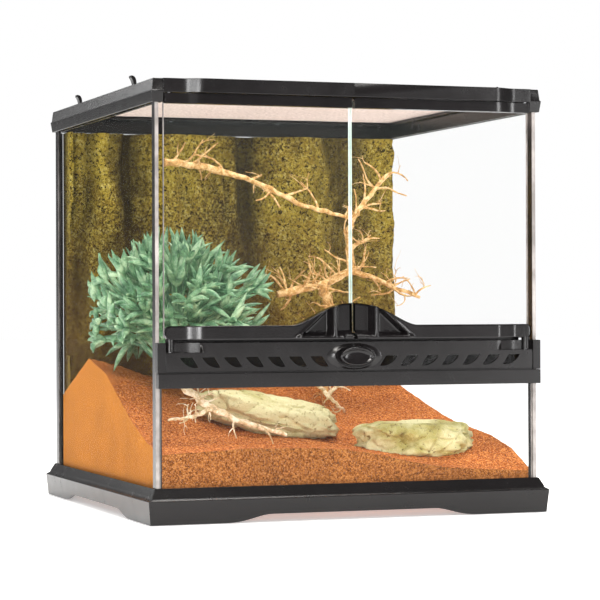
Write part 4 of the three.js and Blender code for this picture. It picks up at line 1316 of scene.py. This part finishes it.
@dataclass
class Stones:
    """The smooth basking stone and the rough hollowed feeding stone."""

    land: Habitat
    sand: SandBed
    tilt: float = 0.19
    bowl: float = 9.0

    def build(self, maker: Maker) -> None:
        """Makes both stones."""
        self.basking(maker)
        self.feeding(maker)

    def basking(self, maker: Maker) -> None:
        """A flat stone that leans down to the right."""
        low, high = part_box("basking_rock")
        middle = (low + high) / 2
        bm = bmesh.new()
        bmesh.ops.create_icosphere(bm, subdivisions=6, radius=1.0)
        turn = Matrix.Rotation(self.tilt, 3, "Y")
        for vert in bm.verts:
            d = vert.co.copy()
            lump = 1 + 0.15 * fractal(d, 1.5, 3) + 0.025 * fractal(d, 7.0, 3)
            gaps, _ = noise.voronoi(Vector((d.x * 2.6, d.y * 1.6, d.z * 1.3 + 4)))
            lump -= 0.06 * soft(0.22, 0.0, gaps[1] - gaps[0])
            top = 0.62 if d.z > 0 else 0.9
            hollow = 0.0
            if d.z > -0.4:
                hollow = 0.20 * math.exp(-((d.x + 0.12) ** 2 / 0.09 + (d.y + 0.62) ** 2 / 0.10))
            place = Vector((d.x * 0.082, d.y * 0.042, math.copysign(abs(d.z) ** top, d.z) * 0.0225))
            vert.co = middle + turn @ (place * (lump - hollow))
        maker.piece("basking_rock_cast", bm, [maker.finishes.smooth_stone], "tank",
                    ["basking_rock"], crease=60)

    def feeding(self, maker: Maker) -> None:
        """A rough block hollowed to a shallow bowl."""
        low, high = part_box("feeding_rock")
        middle, size = (low + high) / 2, (high - low) / 2
        bm = bmesh.new()
        bmesh.ops.create_icosphere(bm, subdivisions=6, radius=1.0)
        for vert in bm.verts:
            d = vert.co.copy()
            radial = max(math.hypot(d.x, d.y), 1e-6)
            square = (abs(radial) ** 4 + abs(d.z) ** 4) ** 0.25
            place = Vector((d.x, d.y, d.z)) / square
            ragged = 0.96 + 0.10 * fractal(Vector((d.x, d.y, d.z * 0.5)), 1.7, 4)
            gaps, _ = noise.voronoi(Vector((d.x * 2.2, d.y * 2.2, d.z * 1.6)))
            ragged -= 0.07 * soft(0.25, 0.0, gaps[1] - gaps[0])
            bite = math.exp(-((d.x + 0.42) / 0.30) ** 2 - ((d.z + 0.1) / 0.36) ** 2)
            ragged -= 0.30 * bite * soft(0.2, -0.6, d.y)
            place = Vector((place.x * size.x * ragged, place.y * size.y * ragged, place.z * size.z * 0.96))
            if d.z > 0.3:
                inside = math.hypot(place.x / (size.x * 0.72), place.y / (size.y * 0.70))
                place.z -= self.bowl * MM * soft(1.0, 0.55, inside)
            pits = 2.2 * MM * max(0.0, fractal(middle + place, 110, 3))
            place.z += 1.6 * MM * fractal(middle + place, 45, 3)
            vert.co = middle + place * (1 - pits / 0.05)
            vert.co.z = min(vert.co.z, high.z + 1 * MM)
        maker.piece("feeding_rock_cast", bm, [maker.finishes.rough_stone], "tank",
                    ["feeding_rock"], crease=60)


@dataclass
class Limb:
    """One limb: its radius, its count of twigs and its stops as (across, deep, height)."""

    radius: float
    twigs: int
    stops: list[tuple[float, float, float]]


@dataclass
class Driftwood:
    """Limbs of bare wood grown over with crooked twigs."""

    land: Habitat
    name: str
    limbs: list[Limb]
    twig_length: tuple[float, float]
    seed: int
    pale: bool = False
    rise: float = 0.35
    twig_radius: float = 1.75

    def build(self, maker: Maker) -> None:
        """Makes the limbs and their twigs as one piece."""
        draw = random.Random(self.seed)
        bm = bmesh.new()
        for limb in self.limbs:
            spine = smooth_path([self.land.point(*s) for s in limb.stops], 7)
            self.knot(spine, draw)
            radii = [limb.radius * MM * lerp(1.0, 0.45, i / (len(spine) - 1)) * draw.uniform(0.82, 1.2)
                     for i in range(len(spine))]
            add_tapered_path(bm, spine, radii, 9)
            for _ in range(limb.twigs):
                at = draw.randint(1, len(spine) - 2)
                self.twig(bm, spine[at], spine[at + 1] - spine[at], radii[at], draw, 2)
        for vert in bm.verts:
            vert.co += Vector((1, 1, 1)) * 0.35 * MM * fractal(vert.co, 190, 2)
        finish = maker.finishes.pale_wood if self.pale else maker.finishes.wood
        maker.piece(f"{self.name}_twigs", bm, [finish], "tank", [self.name], crease=70)

    def knot(self, spine: list[Vector], draw: random.Random) -> None:
        """Bends a spine a little at each of its inner points."""
        for point in spine[1:-1]:
            point += Vector([draw.uniform(-1, 1) for _ in range(3)]) * 1.3 * MM

    def twig(self, bm: bmesh.types.BMesh, root: Vector, along: Vector, thick: float, draw: random.Random,
             forks: int) -> None:
        """Grows one crooked twig with its forks.

        Args:
            bm: The mesh to add to.
            root: Where it leaves the wood.
            along: Direction of the wood there.
            thick: Radius of the wood there.
            draw: Source of random numbers.
            forks: How many more times it may fork.
        """
        heading = Vector([draw.uniform(-1, 1), draw.uniform(-0.7, 0.7), draw.uniform(-0.8, 1) + self.rise])
        heading = (heading.normalized() + along.normalized() * 0.6).normalized()
        length = draw.uniform(*self.twig_length) * MM * (0.55 if forks < 2 else 1.0)
        steps = 7
        bend = Vector([draw.uniform(-0.22, 0.22) for _ in range(3)])
        points, radii = [root.copy()], [min(thick * 0.75, self.twig_radius * MM)]
        for i in range(steps):
            heading = (heading + bend + Vector([draw.uniform(-0.24, 0.24) for _ in range(3)])).normalized()
            points.append(points[-1] + heading * length / steps)
            radii.append(radii[0] * lerp(0.92, 0.42, (i + 1) / steps) * draw.uniform(0.85, 1.15))
        limit = self.land.half - 3 * MM
        for point in points:
            point.x = clamp(point.x, -limit, limit)
            point.y = clamp(point.y, self.land.middle_y - limit, self.land.middle_y + limit)
        add_tapered_path(bm, points, radii, 5)
        if forks > 0:
            for _ in range(draw.choice((0, 1, 1, 1, 2))):
                at = draw.randint(1, steps - 1)
                self.twig(bm, points[at], points[at + 1] - points[at], radii[at], draw, forks - 1)


def smooth_path(stops: Sequence[Vector], steps: int) -> list[Vector]:
    """A smooth curve through stops, with that many points between each two.

    Args:
        stops: Points that the curve goes through.
        steps: How many points each stretch gets.

    Returns:
        The curve's points, both ends included.
    """
    ends = [stops[0] * 2 - stops[1], *stops, stops[-1] * 2 - stops[-2]]
    path = []
    for a, b, c, d in zip(ends, ends[1:], ends[2:], ends[3:]):
        for i in range(steps):
            t = i / steps
            path.append(0.5 * ((2 * b) + (c - a) * t + (2 * a - 5 * b + 4 * c - d) * t**2
                               + (3 * b - a - 3 * c + d) * t**3))
    path.append(stops[-1].copy())
    return path


@dataclass
class Succulent:
    """A trailing succulent: fleshy pointed leaves in rosettes on stems that spread from one root."""

    seed: int = 11
    rosettes: int = 84
    leaves: tuple[int, int] = (5, 7)
    length: tuple[float, float] = (28.0, 50.0)
    width: tuple[float, float] = (3.5, 5.0)
    reach: tuple[float, float] = (0.45, 0.94)
    grow: tuple[float, float, float] = (1.10, 1.42, 1.10)
    wall: float = 3.0
    rings: int = 7

    def build(self, maker: Maker) -> None:
        """Makes the stems and the leaves as one piece."""
        low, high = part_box("succulent_plant")
        draw = random.Random(self.seed)
        crown_low = Vector((low.x, low.y, high.z - 152 * MM))
        middle, size = (crown_low + high) / 2, (high - crown_low) / 2
        size = Vector([size[k] * self.grow[k] for k in range(3)])
        middle += Vector((-6, 14, -4)) * MM
        root = Vector((middle.x, middle.y, low.z + 20 * MM))
        bm = bmesh.new()
        turn = math.pi * (3 - math.sqrt(5))
        for i in range(self.rosettes):
            up = 1 - 1.55 * (i + 0.5) / self.rosettes
            flat = math.sqrt(max(1 - up * up, 0.0))
            out = Vector((flat * math.cos(i * turn), flat * math.sin(i * turn), up))
            depth = draw.uniform(*self.reach)
            tip = middle + Vector([out[k] * size[k] * depth for k in range(3)])
            bend = (root + tip) / 2 + Vector((0, 0, 0.02))
            add_tapered_path(bm, smooth_path([root, bend, tip], 3), [1.9 * MM] * 7, 5)
            self.rosette(bm, tip, out, draw, middle, size)
        maker.piece("succulent_plant_leaves", bm, [maker.finishes.leaf], "tank",
                    ["succulent_plant"], crease=70)

    def rosette(self, bm: bmesh.types.BMesh, tip: Vector, out: Vector, draw: random.Random, middle: Vector,
                size: Vector) -> None:
        """Fans leaves round the end of a stem.

        Args:
            bm: The mesh to add to.
            tip: End of the stem.
            out: Direction out of the clump there.
            draw: Source of random numbers.
            middle: Centre of the clump.
            size: Half sizes of the clump.
        """
        count = draw.randint(*self.leaves)
        frame_of = out.to_track_quat("Z", "Y").to_matrix()
        for k in range(count):
            angle = 2 * math.pi * k / count + draw.uniform(-0.5, 0.5)
            spread = draw.uniform(0.35, 1.15)
            local = Vector((math.cos(angle) * spread, math.sin(angle) * spread, 1.0)).normalized()
            heading = (frame_of @ local + Vector((0, 0, 0.55))).normalized()
            length = draw.uniform(*self.length) * MM
            width = draw.uniform(*self.width) * MM
            droop = draw.uniform(-0.9, 0.5) - 0.4 * max(0.0, -out.z)
            self.leaf(bm, tip, heading, length, width, droop, middle, size)

    def leaf(self, bm: bmesh.types.BMesh, root: Vector, heading: Vector, length: float, width: float,
             droop: float, middle: Vector, size: Vector) -> None:
        """Adds one leaf: a flattened spindle that curves as it grows.

        Args:
            bm: The mesh to add to.
            root: Where it starts.
            heading: Its first direction.
            length: Its length in metres.
            width: Its greatest half width in metres.
            droop: How much it curves up (positive) or down.
            middle: Centre of the clump.
            size: Half sizes of the clump.
        """
        points, radii = [root.copy()], [width * 0.35]
        aim = heading.copy()
        for i in range(1, self.rings + 1):
            t = i / self.rings
            aim = (aim + Vector((0, 0, droop * 0.16))).normalized()
            points.append(points[-1] + aim * length / self.rings)
            radii.append(width * max(math.sin(math.pi * min(t * 0.93 + 0.1, 1.0)) ** 0.75, 0.07))
        over = max(math.sqrt(sum(((points[-1][k] - middle[k]) / size[k]) ** 2 for k in range(3))), 1e-6)
        if over > 1.12:
            scale = max(0.45, 1 - (over - 1.12) * 1.2)
            points = [root + (p - root) * scale for p in points]
        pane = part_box("left_glass")[1].x + self.wall * MM + width
        points = [Vector((max(p.x, pane), p.y, p.z)) for p in points]
        part = bmesh.new()
        add_tapered_path(part, points, radii, 7)
        across = heading.cross(Vector((0, 0, 1))).normalized()
        flat = across.cross(heading).normalized()
        for vert in part.verts:
            nearest = min(points, key=lambda p: (vert.co - p).length_squared)
            offset = vert.co - nearest
            vert.co -= flat * offset.dot(flat) * 0.34
        join_part(bm, part)


# ---- Studio -----------------------------------------------------------------------------------


@dataclass(frozen=True)
class Lamp:
    """A soft rectangular lamp aimed at the object."""

    name: str
    place: tuple[float, float, float]
    power: float
    size: tuple[float, float]
    tone: Colour = (1.0, 1.0, 1.0)
    aim: tuple[float, float, float] = (0.0, 0.0, 0.22)


@dataclass
class Studio:
    """Camera, lamps, white surround and floor."""

    eye: tuple[float, float, float] = (-0.8634194, -2.4693069, 0.2182135)
    yaw: float = 0.3427
    pitch: float = 0.0042
    roll: float = -0.0037
    lens: float = 138.64
    surround: float = 0.16
    floor_glow: tuple[float, float] = (0.42, 0.98)
    lamps: tuple[Lamp, ...] = (
        Lamp("key", (-0.5, -2.3, 2.4), 62.0, (0.9, 0.9), (1.0, 0.97, 0.92)),
        Lamp("top", (0.25, 0.1, 2.2), 62.0, (1.0, 1.0), (1.0, 0.98, 0.95)),
        Lamp("left_strip", (-1.25, -2.55, 0.45), 46.0, (0.36, 1.3)),
        Lamp("right_strip", (1.75, -2.35, 0.5), 22.0, (0.24, 1.3)),
        Lamp("rear", (-1.6, 2.2, 1.4), 30.0, (1.2, 1.2)),
    )

    def build(self) -> None:
        """Sets the camera, the lamps, the world and the floor."""
        self.camera()
        for lamp in self.lamps:
            self.lamp(lamp)
        self.world()
        self.floor()
        bpy.context.scene.view_settings.view_transform = "Standard"

    def camera(self) -> None:
        """The camera, turned by yaw, pitch and roll."""
        ahead = Vector((math.sin(self.yaw) * math.cos(self.pitch), math.cos(self.yaw) * math.cos(self.pitch),
                        math.sin(self.pitch)))
        level = Vector((math.cos(self.yaw), -math.sin(self.yaw), 0.0))
        upright = level.cross(ahead)
        right = math.cos(self.roll) * level + math.sin(self.roll) * upright
        up = math.cos(self.roll) * upright - math.sin(self.roll) * level
        data = bpy.data.cameras.new("camera")
        data.lens = self.lens
        data.sensor_width = 36.0
        eye = bpy.data.objects.new("camera", data)
        turn = Matrix((right, up, -ahead)).transposed().to_4x4()
        eye.matrix_world = Matrix.Translation(self.eye) @ turn
        bpy.context.scene.collection.objects.link(eye)
        bpy.context.scene.camera = eye

    def lamp(self, lamp: Lamp) -> None:
        """One lamp.

        Args:
            lamp: Its size, power, tone and place.
        """
        data = bpy.data.lights.new(lamp.name, "AREA")
        data.shape = "RECTANGLE"
        data.size, data.size_y = lamp.size
        data.energy = lamp.power
        data.color = lamp.tone
        made = bpy.data.objects.new(lamp.name, data)
        made.location = lamp.place
        made.rotation_euler = (Vector(lamp.place) - Vector(lamp.aim)).to_track_quat("Z", "Y").to_euler()
        bpy.context.scene.collection.objects.link(made)

    def world(self) -> None:
        """A white surround, dimmer as a source of light than it looks."""
        world = bpy.data.worlds.new("surround")
        world.use_nodes = True
        bpy.context.scene.world = world
        nodes, links = world.node_tree.nodes, world.node_tree.links
        back = nodes["Background"]
        back.inputs["Color"].default_value = (1.0, 1.0, 1.0, 1.0)
        path = nodes.new("ShaderNodeLightPath")
        level = nodes.new("ShaderNodeMapRange")
        level.inputs["To Min"].default_value = self.surround
        level.inputs["To Max"].default_value = 1.0
        links.new(path.outputs["Is Camera Ray"], level.inputs["Value"])
        links.new(level.outputs["Result"], back.inputs["Strength"])

    def floor(self) -> None:
        """The pale floor."""
        bm = bmesh.new()
        bmesh.ops.create_grid(bm, x_segments=1, y_segments=1, size=14.0)
        mesh = bpy.data.meshes.new("floor")
        bm.to_mesh(mesh)
        bm.free()
        mesh.materials.append(StudioFloor(glow=self.floor_glow).build())
        floor = bpy.data.objects.new("floor", mesh)
        floor.location.z = -0.0006
        bpy.context.scene.collection.objects.link(floor)


def driftwoods(land: Habitat, rail_foot: float = 430.0) -> Iterable[Driftwood]:
    """The three pieces of wood.

    Args:
        land: The habitat that they stand in.
        rail_foot: Height in millimetres that the upper wood's stops are measured down from.

    Yields:
        Each piece.
    """
    hung = [
        Limb(4.6, 13, [(-0.5, 0.8, 39), (-0.24, 0.8, 44), (0.05, 0.79, 62), (0.32, 0.78, 87),
                       (0.6, 0.76, 104)]),
        Limb(5.0, 15, [(0.6, 0.76, 168), (0.58, 0.77, 130), (0.6, 0.76, 104), (0.7, 0.77, 78),
                       (0.82, 0.79, 52)]),
        Limb(4.6, 30, [(0.1, 0.7, 194), (0.38, 0.72, 182), (0.6, 0.76, 168), (0.78, 0.7, 184),
                       (0.93, 0.66, 198)]),
        Limb(5.4, 26, [(0.38, 0.72, 182), (0.4, 0.7, 215), (0.34, 0.67, 250), (0.36, 0.66, 308)]),
    ]
    upper = [Limb(limb.radius, limb.twigs, [(u, v, rail_foot - z) for u, v, z in limb.stops])
             for limb in hung]
    yield Driftwood(land, "upper_driftwood", upper, (20, 50), 5)
    lower = [
        Limb(4.4, 9, [(-0.8, 0.11, 138), (-0.68, 0.1, 118), (-0.5, 0.09, 100), (-0.28, 0.085, 86)]),
        Limb(2.8, 5, [(-0.66, 0.1, 115), (-0.78, 0.09, 108), (-0.9, 0.09, 104)]),
    ]
    yield Driftwood(land, "lower_branch", lower, (12, 26), 8, pale=True, twig_radius=1.3)
    small = [
        Limb(2.6, 3, [(0.04, 0.34, 146), (0.1, 0.3, 124), (0.16, 0.3, 112), (0.24, 0.36, 104)]),
        Limb(2.4, 3, [(0.1, 0.3, 124), (0.15, 0.28, 136), (0.17, 0.27, 148)]),
    ]
    yield Driftwood(land, "small_branch", small, (10, 22), 3, pale=True, twig_radius=1.3)


def main() -> None:
    """Builds the terrarium piece by piece, then its studio."""
    logging.basicConfig(level=logging.INFO, format="%(name)s %(message)s")
    maker = Maker(Finishes())
    land = Habitat()
    sand = SandBed(land)
    parts: list[Callable[[Maker], None]] = [
        Trim().build, Panes().build, *(HandleRail(side).build for side in Side), LockKnob().build,
        ScreenLid().build, RockWall().build, sand.build, Stones(land, sand).build,
        *(wood.build for wood in driftwoods(land)), Succulent().build,
    ]
    for build in parts:
        build(maker)
    Studio().build()


if __name__ == "__main__":
    main()
